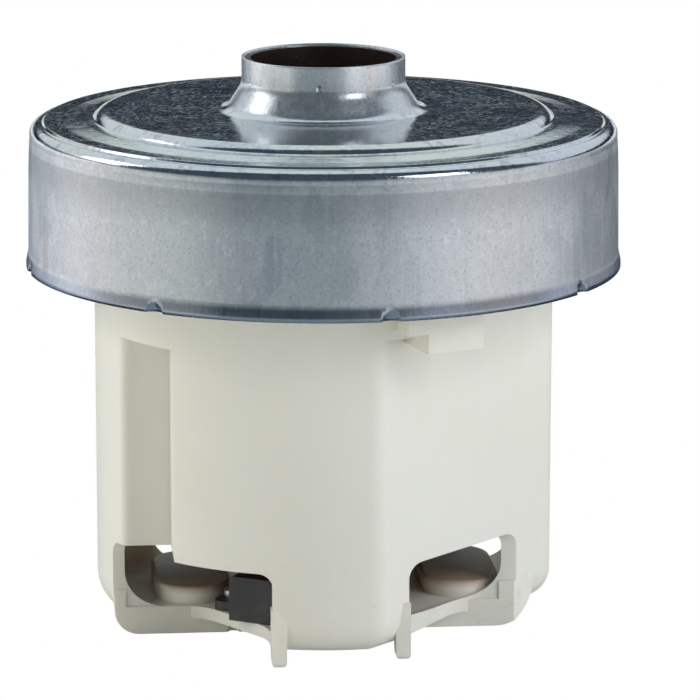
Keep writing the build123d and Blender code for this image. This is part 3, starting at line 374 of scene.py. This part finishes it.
for end in ("front", "rear"):
    dress(plastic("holder_resin_" + end, (0.018, 0.018, 0.018), 0.30, worn=(0.05, 0.048, 0.045)),
          "brush_holder_" + end)
    dress(metal("tube_brass_" + end, (0.70, 0.52, 0.24), 0.26), "brush_tube_" + end)
    dress(plastic("carbon_" + end, (0.03, 0.03, 0.032), 0.45, bump=0.3), "carbon_brush_" + end)
    dress(metal("spring_wire_" + end, (0.60, 0.60, 0.61), 0.20), "brush_spring_" + end)
    dress(plastic("plug_" + end, (0.03, 0.03, 0.03), 0.4), "brush_plug_" + end)
    dress(metal("tinned_tab_" + end, (0.70, 0.68, 0.62), 0.30), "brush_terminal_" + end)
slot_copper = enamel("slot_copper", (0.40, 0.08, 0.03))
# The packed body is a darker copy of the wire's red enamel: painted shade where it shows in the gaps between
# turns.
coil_body_shade_red = enamel("coil_body", (0.20, 0.012, 0.010))
field_wire_red = enamel("field_wire", (0.50, 0.02, 0.015))
dress(slot_copper, "armature_slot_wires")


# Mesh pieces
MM = 0.001


def rounded(corners, steps):
    """The line through (radius, height, rounding) corners in mm. A rounded right angle takes steps runs."""
    points = [(radius, height) for radius, height, _ in corners]
    line = [points[0]]
    for i in range(1, len(points) - 1):
        corner = Vector(points[i])
        before = (Vector(points[i - 1]) - corner).normalized()
        after = (Vector(points[i + 1]) - corner).normalized()
        half = before.angle(after) / 2
        rounding = corners[i][2]
        if rounding == 0:
            line.append(tuple(corner))
            continue
        reach = rounding / math.tan(half)
        centre = corner + (before + after).normalized() * (rounding / math.sin(half))
        start = corner + before * reach - centre
        end = corner + after * reach - centre
        turn = math.atan2(start.x * end.y - start.y * end.x, start.dot(end))
        count = max(2, round(steps * abs(turn) / math.radians(90)))
        for k in range(count + 1):
            angle = turn * k / count
            line.append((centre.x + start.x * math.cos(angle) - start.y * math.sin(angle),
                         centre.y + start.x * math.sin(angle) + start.y * math.cos(angle)))
    line.append(points[-1])
    return line


def divided(line, longest):
    """The same line with its long runs cut into pieces no longer than longest."""
    points = [line[0]]
    for a, b in zip(line, line[1:]):
        count = max(1, math.ceil(math.dist(a, b) / longest))
        for k in range(1, count + 1):
            points.append((a[0] + (b[0] - a[0]) * k / count, a[1] + (b[1] - a[1]) * k / count))
    return points


def moved_in(line, depth):
    """The line moved sideways by depth, to the right of its direction."""
    result = []
    for i, point in enumerate(line):
        before = Vector(line[max(0, i - 1)])
        after = Vector(line[min(len(line) - 1, i + 1)])
        way = (after - before).normalized()
        result.append((point[0] + way.y * depth, point[1] - way.x * depth))
    return result


def quad_strip(count, sides, closed):
    """The faces between count rings of so many sides, round to the first ring again when closed."""
    faces = []
    for i in range(count if closed else count - 1):
        below = (i + 1) % count
        for k in range(sides):
            right = (k + 1) % sides
            faces.append((i * sides + k, below * sides + k, below * sides + right, i * sides + right))
    return faces


def new_object(name, vertices, faces, material, smooth=True):
    mesh = bpy.data.meshes.new(name)
    mesh.from_pydata(vertices, [], faces)
    mesh.validate()
    mesh.materials.append(material)
    for polygon in mesh.polygons:
        polygon.use_smooth = smooth
    obj = bpy.data.objects.new(name, mesh)
    bpy.context.scene.collection.objects.link(obj)
    return obj


# The fan cover, in mm and degrees
COVER_SHEET = 0.8
COVER_RIM_Z = 82.7
COVER_RIM_R = 67.93
COVER_WALL_R = 67.38
COLLAR_R = 18.6
COLLAR_TOP_Z = 130.2
COLLAR_ROWS = 24
EVEN_ROWS_FROM_Z = 124.4
DISC_Z = 118.1

# Corners of the sheet's outer face from the collar's lip to the rim: radius, height and rounding.
COVER_CORNERS = (
    (18.35, COLLAR_TOP_Z, 0), (COLLAR_R, COLLAR_TOP_Z, 0.25), (COLLAR_R, 123.9, 4.5),
    (22.4, DISC_Z, 3.4), (51.05, DISC_Z, 3.2), (52.3, 116.35, 0.8), (54.6, 116.33, 5.0),
    (59.4, 115.9, 5.0), (63.5, 115.9, 0.2), (63.95, 115.25, 0.5), (66.78, 115.22, 2.3),
    (66.80, 112.3, 6.0), (66.98, 109.0, 10.0), (67.12, 105.0, 0), (COVER_WALL_R, 86.3, 1.8),
    (COVER_RIM_R, 83.6, 0.45), (COVER_RIM_R, COVER_RIM_Z, 0),
)
ROUNDING_STEPS = 14
LONGEST_RUN = 0.9

# Two fine lines pressed round the wall
GROOVE_LEVELS = (112.3, 110.1)
GROOVE_DEPTH = 0.05
GROOVE_WIDTH = 0.25
GROOVE_FROM_R = 66

# Pockets pressed into the rim with a ball, and small dimples round the collar
DENT_COUNT = 8
DENT_FIRST = 7.6
DENT_BALL = 2.3
DENT_DEPTH = 1.0
DIMPLE_COUNT = 6
DIMPLE_FIRST = -7.8
DIMPLE_R = 0.62
DIMPLE_Z = 125.3
DIMPLE_FLATNESS = 0.6


def cover_outer_line():
    """The sheet's outer face from the collar's lip to the rim, with its fine pressed lines."""
    line = []
    for radius, height in divided(rounded(COVER_CORNERS, ROUNDING_STEPS), LONGEST_RUN):
        groove = sum(GROOVE_DEPTH * math.exp(-((height - level) / GROOVE_WIDTH) ** 2)
                     for level in GROOVE_LEVELS)
        line.append((radius - (groove if radius > GROOVE_FROM_R else 0.0), height))
    return line


def with_even_collar(line):
    """The same line, with even rows up the straight collar, where the dimples are pressed."""
    straight = [p for p in line if p[1] > EVEN_ROWS_FROM_Z and abs(p[0] - COLLAR_R) < 0.05]
    low, high = min(p[1] for p in straight), max(p[1] for p in straight)
    rows = [(COLLAR_R, high - (high - low) * k / COLLAR_ROWS) for k in range(COLLAR_ROWS + 1)]
    others = [p for p in line if p not in straight]
    lip = sorted((p for p in others if p[1] > high), key=lambda p: p[0])
    return lip + rows + [p for p in others if p[1] <= high]


def cover_azimuths():
    """Even steps round the cover, with finer ones across each rim pocket and collar dimple."""
    angles = {round(1.5 * i, 3) for i in range(240)}
    for first, count, step, reach in ((DENT_FIRST, DENT_COUNT, 0.25, 12),
                                      (DIMPLE_FIRST, DIMPLE_COUNT, 0.5, 5)):
        for k in range(count):
            middle = first + 360 / count * k
            angles |= {round((middle + step * j) % 360, 3) for j in range(-reach, reach + 1)}
    return sorted(angles)


def offsets(angle, first, count):
    """How many degrees angle lies past each of count marks spread evenly from first."""
    return [(angle - first - 360 / count * k + 180) % 360 - 180 for k in range(count)]


def ball_room(ball, off, radius, height, middle):
    """The square of a ball's half chord at a point off degrees and height - middle away from its centre."""
    return ball ** 2 - (math.radians(off) * radius) ** 2 - (height - middle) ** 2


def pressed(angle, radius, height, inner):
    """The radius of a point of the cover once the rim pockets and the collar dimples are pressed in."""
    if height < COVER_RIM_Z + DENT_BALL + 2:
        ball = DENT_BALL + (COVER_SHEET if inner else 0.0)
        centre_r = COVER_WALL_R + DENT_BALL - DENT_DEPTH
        for off in offsets(angle, DENT_FIRST, DENT_COUNT):
            room = ball_room(ball, off, radius, height, COVER_RIM_Z)
            if room > 0:
                radius = min(radius, centre_r - math.sqrt(room))
    if not inner and abs(radius - COLLAR_R) < 0.1:
        for off in offsets(angle, DIMPLE_FIRST, DIMPLE_COUNT):
            room = ball_room(DIMPLE_R, off, radius, height, DIMPLE_Z)
            if room > 0:
                radius -= math.sqrt(room) * DIMPLE_FLATNESS
    return radius


def fan_cover(material):
    outer = with_even_collar(cover_outer_line())
    inner = [(radius, min(height, COLLAR_TOP_Z)) for radius, height in moved_in(outer, COVER_SHEET)]
    rings = [(r, z, False) for r, z in outer] + [(r, z, True) for r, z in reversed(inner)]
    azimuths = cover_azimuths()
    vertices = []
    for radius, height, is_inner in rings:
        for angle in azimuths:
            r = pressed(angle, radius, height, is_inner) * MM
            a = math.radians(angle)
            vertices.append((r * math.sin(a), -r * math.cos(a), height * MM))
    cover = new_object("drawn_fan_cover", vertices, quad_strip(len(rings), len(azimuths), True), material)
    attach(cover, "housing")
    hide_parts("fan_cover")


# Wound pieces
COIL_HALF_WIDTH = 20.4
COIL_LOW = 16.9
COIL_HIGH = 75.2
COIL_CORNER = 11.0
COIL_INNER_CORNER = 2.6
COIL_Y = 21.7
COIL_DEPTH = 6.4
COIL_SIDE = 8.4
COIL_END = 11.6
COIL_ROOM = 0.12
WIRE_R = 0.4
WIRE_SIDES = 8
WIRE_WANDER = 0.06
WIRE_INSET = WIRE_R + 0.15
FACE_TURNS = 13
EDGE_TURNS = 7
LOOSE_STRANDS = 5
LOOSE_WANDER = 0.08
ARC_STEPS = 8
RUN_STEPS = 10


def tube(points, radius, sides, closed=False):
    """Vertices and faces of a round tube along points, in mm."""
    vertices = []
    count = len(points)
    side = None
    for i, point in enumerate(points):
        before = Vector(points[i - 1] if i or closed else points[0])
        after = Vector(points[(i + 1) % count] if i < count - 1 or closed else points[-1])
        way = (after - before).normalized()
        if side is None:
            side = way.orthogonal().normalized()
        side = (side - way * side.dot(way)).normalized()
        up = way.cross(side)
        for k in range(sides):
            turn = 2 * math.pi * k / sides
            vertices.append(Vector(point) + (side * math.cos(turn) + up * math.sin(turn)) * radius)
    faces = quad_strip(count, sides, closed)
    if not closed:
        faces.append(tuple(reversed(range(sides))))
        faces.append(tuple(range((count - 1) * sides, count * sides)))
    return vertices, faces


def joined(shapes):
    """Several (vertices, faces) lists as one, in metres."""
    vertices = []
    faces = []
    for some, sides in shapes:
        start = len(vertices)
        vertices += [tuple(MM * c for c in v) for v in some]
        faces += [tuple(start + k for k in face) for face in sides]
    return vertices, faces


def run_between(start, end):
    """Points along a straight run, without its two ends."""
    return [tuple(a + (b - a) * k / RUN_STEPS for a, b in zip(start, end)) for k in range(1, RUN_STEPS)]


def racetrack(side_inset, end_inset, y):
    """One closed turn of the coil in mm, side_inset and end_inset inside its outer edge."""
    half = COIL_HALF_WIDTH - side_inset
    low = COIL_LOW + end_inset
    high = COIL_HIGH - end_inset
    corner = max(COIL_INNER_CORNER, COIL_CORNER - (side_inset + end_inset) / 2)
    centres = [(half - corner, high - corner, 90), (half - corner, low + corner, 0),
               (corner - half, low + corner, -90), (corner - half, high - corner, 180)]
    points = []
    for x, z, start in centres:
        arc = []
        for k in range(ARC_STEPS + 1):
            angle = math.radians(start - 90 * k / ARC_STEPS)
            arc.append((x + corner * math.cos(angle), y, z + corner * math.sin(angle)))
        if points:
            points += run_between(points[-1], arc[0])
        points += arc
    return points + run_between(points[-1], points[0])


def wandering(points, seed, amount, closed=True):
    """The same line, pushed a little off its course the way hand-laid wire lies."""
    result = []
    count = len(points)
    for i, point in enumerate(points):
        turn = 2 * math.pi * i / count
        across = math.sin(2 * turn + seed * 1.7) + 0.6 * math.sin(5 * turn + seed * 2.9)
        along = math.cos(3 * turn + seed * 2.3) + 0.5 * math.sin(7 * turn + seed * 1.1)
        hold = 1.0 if closed else math.sin(math.pi * i / (count - 1))
        result.append((point[0] + amount * across * hold, point[1] + amount * along * hold,
                       point[2] - amount * across * hold * 0.5))
    return result


def smooth_line(points, steps):
    """A smooth line through points, by cubic pieces."""
    result = []
    ends = [points[0]] + list(points) + [points[-1]]
    for i in range(1, len(ends) - 2):
        a, b, c, d = (Vector(p) for p in ends[i - 1:i + 3])
        for k in range(steps):
            t = k / steps
            result.append(tuple(0.5 * (2 * b + (c - a) * t + (2 * a - 5 * b + 4 * c - d) * t * t
                                       + (3 * b - a - 3 * c + d) * t ** 3)))
    result.append(tuple(points[-1]))
    return result


def half_turned(vertices):
    """The same vertices half a turn round the motor's axis."""
    return [(-x, -y, z) for x, y, z in vertices]


def packed_body(front, back):
    """The coil's inner mass, between its two layers of turns."""
    skin = 2 * WIRE_R
    side, far = COIL_SIDE - 0.2, COIL_END - 0.2
    frames = [racetrack(skin, skin, front + WIRE_R), racetrack(skin, skin, back - WIRE_R),
              racetrack(side, far, back - WIRE_R), racetrack(side, far, front + WIRE_R)]
    count = len(frames[0])
    return [frame[i] for i in range(count) for frame in frames], quad_strip(count, len(frames), True)


def laid_turns(front, back):
    """The turns that show: on the coil's two faces, round its outer edge and loose below its left side."""
    turns = []
    for k in range(FACE_TURNS):
        share = k / (FACE_TURNS - 1)
        side = WIRE_INSET + share * (COIL_SIDE - 2 * WIRE_R - 0.5)
        far = WIRE_INSET + share * (COIL_END - 2 * WIRE_R - 0.5)
        for y, seed in ((front, 1.0), (back, 2.0)):
            line = wandering(racetrack(side, far, y), seed + 3.1 * k, WIRE_WANDER)
            turns.append(tube(line, WIRE_R, WIRE_SIDES, True))
    for k in range(1, EDGE_TURNS):
        y = front + (back - front) * k / EDGE_TURNS
        line = wandering(racetrack(WIRE_INSET, WIRE_INSET, y), 4.7 * k, WIRE_WANDER)
        turns.append(tube(line, WIRE_R, WIRE_SIDES, True))
    for k in range(LOOSE_STRANDS):
        y = front + 0.3 + 0.85 * k
        line = smooth_line([(-6.0, y, COIL_LOW + 0.55), (-13.0, y - 0.2, COIL_LOW + 0.40),
                            (-19.5 - 0.2 * k, y - 0.4, COIL_LOW + 0.45 + 0.1 * k),
                            (-24.3 + 0.9 * k, y - 0.2, COIL_LOW + 1.2 + 0.25 * k),
                            (-23.6 + 0.8 * k, y, COIL_LOW + 5.5), (-20.9 + 0.2 * k, y, COIL_LOW + 12.5)], 7)
        turns.append(tube(wandering(line, 1.3 * k, LOOSE_WANDER, False), WIRE_R, WIRE_SIDES))
    return turns


def field_coil(end):
    """One field coil: a body of packed wire under a full layer of turns, with loose strands below."""
    front = -COIL_Y - COIL_DEPTH + WIRE_R + COIL_ROOM
    back = -COIL_Y - WIRE_R - COIL_ROOM
    core_vertices, core_faces = joined([packed_body(front, back)])
    turn_vertices, turn_faces = joined(laid_turns(front, back))
    if end == "rear":
        core_vertices = half_turned(core_vertices)
        turn_vertices = half_turned(turn_vertices)
    core = new_object("coil_body_" + end, core_vertices, core_faces, coil_body_shade_red, smooth=False)
    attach(core, "housing")
    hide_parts("field_coil_core_" + end)
    wire = new_object("coil_turns_" + end, turn_vertices, turn_faces, field_wire_red)
    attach(wire, "housing")
    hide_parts("field_coil_wire_" + end)


HEAP_R = 17.2
HEAP_INNER_R = 7.1
HEAP_SLOPE = 4.0
HEAP_SINK = 0.75
HEAP_SWELL = 0.18
HEAP_STEPS = 72
SLOT_COUNT = 12
BUNDLE_WIRES = 6
BUNDLE_SPREAD = 2.3
BUNDLE_WIRE_R = 0.38
BUNDLE_LIFT = 0.16

# Half of a bundle's way over the heap: degrees from its middle, radius, tenths of the heap's height,
# and how far each next wire of the bundle lies closer to the shaft.
BUNDLE_WAY = ((74, 16.75, 0.2, 0), (71, 16.85, 4.4, 0), (63, 16.3, 6.9, 0), (49, 14.0, 9.1, 0),
              (26, 10.9, 9.45, 0.35), (0, 9.9, 9.5, 0.35))


def packed_heap(from_z, to_z, way):
    """A ring of packed wire that slopes off at its outer corner and swells at each slot."""
    profile = [(HEAP_INNER_R, from_z), (HEAP_R - HEAP_SINK, from_z),
               (HEAP_R - HEAP_SINK, to_z - way * HEAP_SLOPE), (HEAP_R - HEAP_SLOPE, to_z - way * HEAP_SINK),
               (HEAP_INNER_R + 0.4, to_z - way * HEAP_SINK), (HEAP_INNER_R, to_z - way * 2 * HEAP_SINK)]
    vertices = []
    for k in range(HEAP_STEPS):
        angle = 2 * math.pi * k / HEAP_STEPS
        swell = HEAP_SWELL * math.cos(SLOT_COUNT * angle)
        for radius, z in profile:
            r = radius + (swell if radius > HEAP_R - 2 else 0.0)
            vertices.append((r * math.sin(angle), -r * math.cos(angle), z))
    faces = quad_strip(HEAP_STEPS, len(profile), True)
    return vertices, [face if way > 0 else tuple(reversed(face)) for face in faces]


def winding_heap(end, from_z, to_z):
    """The end turns of the armature: crossing bundles of wire laid over a packed heap."""
    way = 1 if to_z > from_z else -1
    shapes = [packed_heap(from_z, to_z, way)]
    route = [(-off, *rest) for off, *rest in BUNDLE_WAY] + list(reversed(BUNDLE_WAY[:-1]))
    for coil in range(SLOT_COUNT):
        for k in range(BUNDLE_WIRES):
            middle = 360 / SLOT_COUNT * coil + BUNDLE_SPREAD * k
            lift = BUNDLE_LIFT * ((coil + k) % 3)
            line = []
            for off, radius, tenths, closer in route:
                r = radius - closer * k
                angle = math.radians(middle + off)
                reach = tenths / 10 * abs(to_z - from_z) - lift
                line.append((r * math.sin(angle), -r * math.cos(angle), from_z + way * max(0.2, reach)))
            shapes.append(tube(smooth_line(line, 4), BUNDLE_WIRE_R, 6))
    heap_vertices, heap_faces = joined(shapes)
    heap = new_object("armature_end_turns_" + end, heap_vertices, heap_faces, slot_copper)
    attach(heap, "rotor")
    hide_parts("armature_winding_" + end)


# Studio
# Tall panels round the object, low enough for the wall to mirror: azimuth, power in watts and colour
PANEL_PLACE = {"distance": 0.95, "height": -0.10, "size": (0.42, 0.75)}
PANELS = (
    (-135, 0.51, (0.80, 0.88, 1.0)), (-110, 1.22, (1.0, 0.95, 0.91)), (-85, 0.65, (1.0, 0.90, 0.79)),
    (-60, 0.69, (1.0, 0.96, 0.80)), (15, 0.10, (1.0, 1.0, 0.62)), (40, 0.81, (1.0, 0.96, 0.98)),
    (65, 0.81, (1.0, 0.83, 0.72)), (90, 0.68, (0.96, 0.96, 1.0)),
)

# Large soft lamps that no surface mirrors, and two boxes above that make the bright spots on the flare
FILL_PLACE = {"distance": 1.1, "height": 0.5, "size": (1.0, 1.0)}
FILLS = (("fill_left", -75, 5.2, (1.0, 0.99, 0.91)), ("fill_front", -10, 0.5, (1.0, 0.55, 0.25)),
         ("fill_right", 60, 5.8, (0.88, 0.93, 1.0)))
BOX_PLACE = {"distance": 0.85, "height": 0.60, "size": (0.36, 0.40)}
HIGH_BOXES = (("high_left", -104, 1.2), ("high_right", 42, 1.4))
AIM = Vector((0, 0, 0.06))

# The room that the metal mirrors. Levels are the height of a direction's unit vector.
FRONT_LOW = (0.44, 0.51, 0.55)
FRONT_HIGH = (0.065, 0.093, 0.118)
BACK_FLOOR = -0.2
BACK_LEVELS = ((-0.2, (0.08, 0.10, 0.13)), (-0.10, (0.10, 0.12, 0.15)), (-0.04, (0.95, 0.96, 0.97)),
               (0.045, (0.90, 0.92, 0.94)), (0.08, (0.015, 0.022, 0.045)), (0.215, (0.015, 0.022, 0.045)),
               (0.25, (0.74, 0.80, 0.86)), (0.985, (0.82, 0.88, 0.93)))
FRONT_Z = (-0.10, 0.06)
BACK_FROM_Y = (0.0, 0.10)
BACK_TINT = (0.97, 1.02, 0.93)
TINT_UNTIL_X = (0.12, 0.34)


def soft_light(name, azimuth, power, color, distance, height, size):
    data = bpy.data.lights.new(name, "AREA")
    data.shape = "RECTANGLE"
    data.size, data.size_y = size
    data.energy = power
    data.color = color
    light = bpy.data.objects.new(name, data)
    angle = math.radians(azimuth)
    light.location = (distance * math.sin(angle), -distance * math.cos(angle), height)
    light.rotation_euler = (AIM - light.location).to_track_quat("-Z", "Y").to_euler()
    bpy.context.scene.collection.objects.link(light)
    light.visible_camera = False
    return light


def white_to_camera(tree, other, white, out):
    """Ends a shader tree: the camera sees white, and every other ray meets the other shader."""
    path = tree.nodes.new("ShaderNodeLightPath")
    mix = tree.nodes.new("ShaderNodeMixShader")
    tree.links.new(path.outputs["Is Camera Ray"], mix.inputs["Fac"])
    tree.links.new(other, mix.inputs[1])
    tree.links.new(white, mix.inputs[2])
    tree.links.new(mix.outputs["Shader"], out.inputs["Surface"])


def studio():
    for azimuth, power, color in PANELS:
        soft_light("panel", azimuth, power, color, **PANEL_PLACE)
    for name, azimuth, power, color in FILLS:
        soft_light(name, azimuth, power, color, **FILL_PLACE).visible_glossy = False
    for name, azimuth, power in HIGH_BOXES:
        soft_light(name, azimuth, power, (1, 1, 1), **BOX_PLACE)
    world = bpy.data.worlds.new("studio")
    bpy.context.scene.world = world
    world.use_nodes = True
    tree = world.node_tree
    tree.nodes.clear()
    out = tree.nodes.new("ShaderNodeOutputWorld")
    white = tree.nodes.new("ShaderNodeBackground")
    white.inputs["Color"].default_value = (1, 1, 1, 1)
    room = tree.nodes.new("ShaderNodeBackground")
    tree.links.new(room_color(tree), room.inputs["Color"])
    white_to_camera(tree, room.outputs["Background"], white.outputs["Background"], out)


def room_color(tree):
    """The dim room: even in front, and behind the object a pale strip, a dark one and a lit one above."""
    direction = tree.nodes.new("ShaderNodeTexCoord")
    split = tree.nodes.new("ShaderNodeSeparateXYZ")
    tree.links.new(direction.outputs["Generated"], split.inputs["Vector"])
    ramp = tree.nodes.new("ShaderNodeValToRGB")
    tree.links.new(level_between(tree, split.outputs["Z"], BACK_FLOOR, 1.0), ramp.inputs["Fac"])
    stops = ramp.color_ramp.elements
    for level, color in BACK_LEVELS:
        stop = stops[0] if level == BACK_FLOOR else stops.new((level - BACK_FLOOR) / (1.0 - BACK_FLOOR))
        stop.color = (*color, 1)
    stops.remove(stops[-1])
    sideways = tree.nodes.new("ShaderNodeMath")
    sideways.operation = "ABSOLUTE"
    tree.links.new(split.outputs["X"], sideways.inputs[0])
    tint = room_mix(tree, level_between(tree, sideways.outputs[0], *TINT_UNTIL_X), BACK_TINT, (1, 1, 1))
    back = room_mix(tree, 1.0, ramp.outputs["Color"], tint, "MULTIPLY")
    front = room_mix(tree, level_between(tree, split.outputs["Z"], *FRONT_Z), FRONT_LOW, FRONT_HIGH)
    return room_mix(tree, level_between(tree, split.outputs["Y"], *BACK_FROM_Y), front, back)


def level_between(tree, value, low, high):
    """0 up to low, 1 from high, and even in between."""
    node = tree.nodes.new("ShaderNodeMapRange")
    tree.links.new(value, node.inputs["Value"])
    node.inputs["From Min"].default_value = low
    node.inputs["From Max"].default_value = high
    return node.outputs["Result"]


def room_mix(tree, factor, first, second, blend="MIX"):
    """Mixes two colours, each written out or taken from another node."""
    node = tree.nodes.new("ShaderNodeMix")
    node.data_type = "RGBA"
    node.blend_type = blend
    for value, socket in ((factor, node.inputs["Factor"]), (first, node.inputs[6]), (second, node.inputs[7])):
        if isinstance(value, tuple):
            socket.default_value = (*value, 1)
        elif isinstance(value, float):
            socket.default_value = value
        else:
            tree.links.new(value, socket)
    return node.outputs[2]


def floor():
    """A pale floor that bounces light up, and that the camera sees as plain white."""
    mesh = bpy.data.meshes.new("studio_floor")
    half = 6.0
    corners = [(-half, -half, 0), (half, -half, 0), (half, half, 0), (-half, half, 0)]
    mesh.from_pydata(corners, [], [(0, 1, 2, 3)])
    plane = bpy.data.objects.new("studio_floor", mesh)
    bpy.context.scene.collection.objects.link(plane)
    mat = bpy.data.materials.new("studio_floor")
    mat.use_nodes = True
    tree = mat.node_tree
    tree.nodes.clear()
    out = tree.nodes.new("ShaderNodeOutputMaterial")
    matt = tree.nodes.new("ShaderNodeBsdfDiffuse")
    matt.inputs["Color"].default_value = (0.80, 0.80, 0.80, 1)
    white = tree.nodes.new("ShaderNodeEmission")
    white.inputs["Color"].default_value = (1, 1, 1, 1)
    white_to_camera(tree, matt.outputs["BSDF"], white.outputs["Emission"], out)
    mesh.materials.append(mat)
    plane.visible_glossy = False


def camera():
    """The photograph's own view, found by fitting the rings of the cover."""
    target = Vector((0.0, 0.0, 0.0617))
    distance = 0.9855
    pitch = math.radians(12.63)
    azimuth = math.radians(-4.8)
    data = bpy.data.cameras.new("camera")
    data.sensor_width = 36
    data.lens = 220.2
    data.shift_x = 0.038
    data.clip_start = 0.01
    cam = bpy.data.objects.new("camera", data)
    away = Vector((math.cos(pitch) * math.sin(azimuth), -math.cos(pitch) * math.cos(azimuth),
                   math.sin(pitch)))
    cam.location = target + away * distance
    cam.rotation_euler = (target - cam.location).to_track_quat("-Z", "Y").to_euler()
    bpy.context.scene.collection.objects.link(cam)
    bpy.context.scene.camera = cam


fan_cover(galvanised())
for end in ("front", "rear"):
    field_coil(end)
winding_heap("lower", 29.2, 19.3)
winding_heap("upper", 62.8, 71.4)
studio()
floor()
camera()
bpy.context.scene.view_settings.view_transform = "Standard"
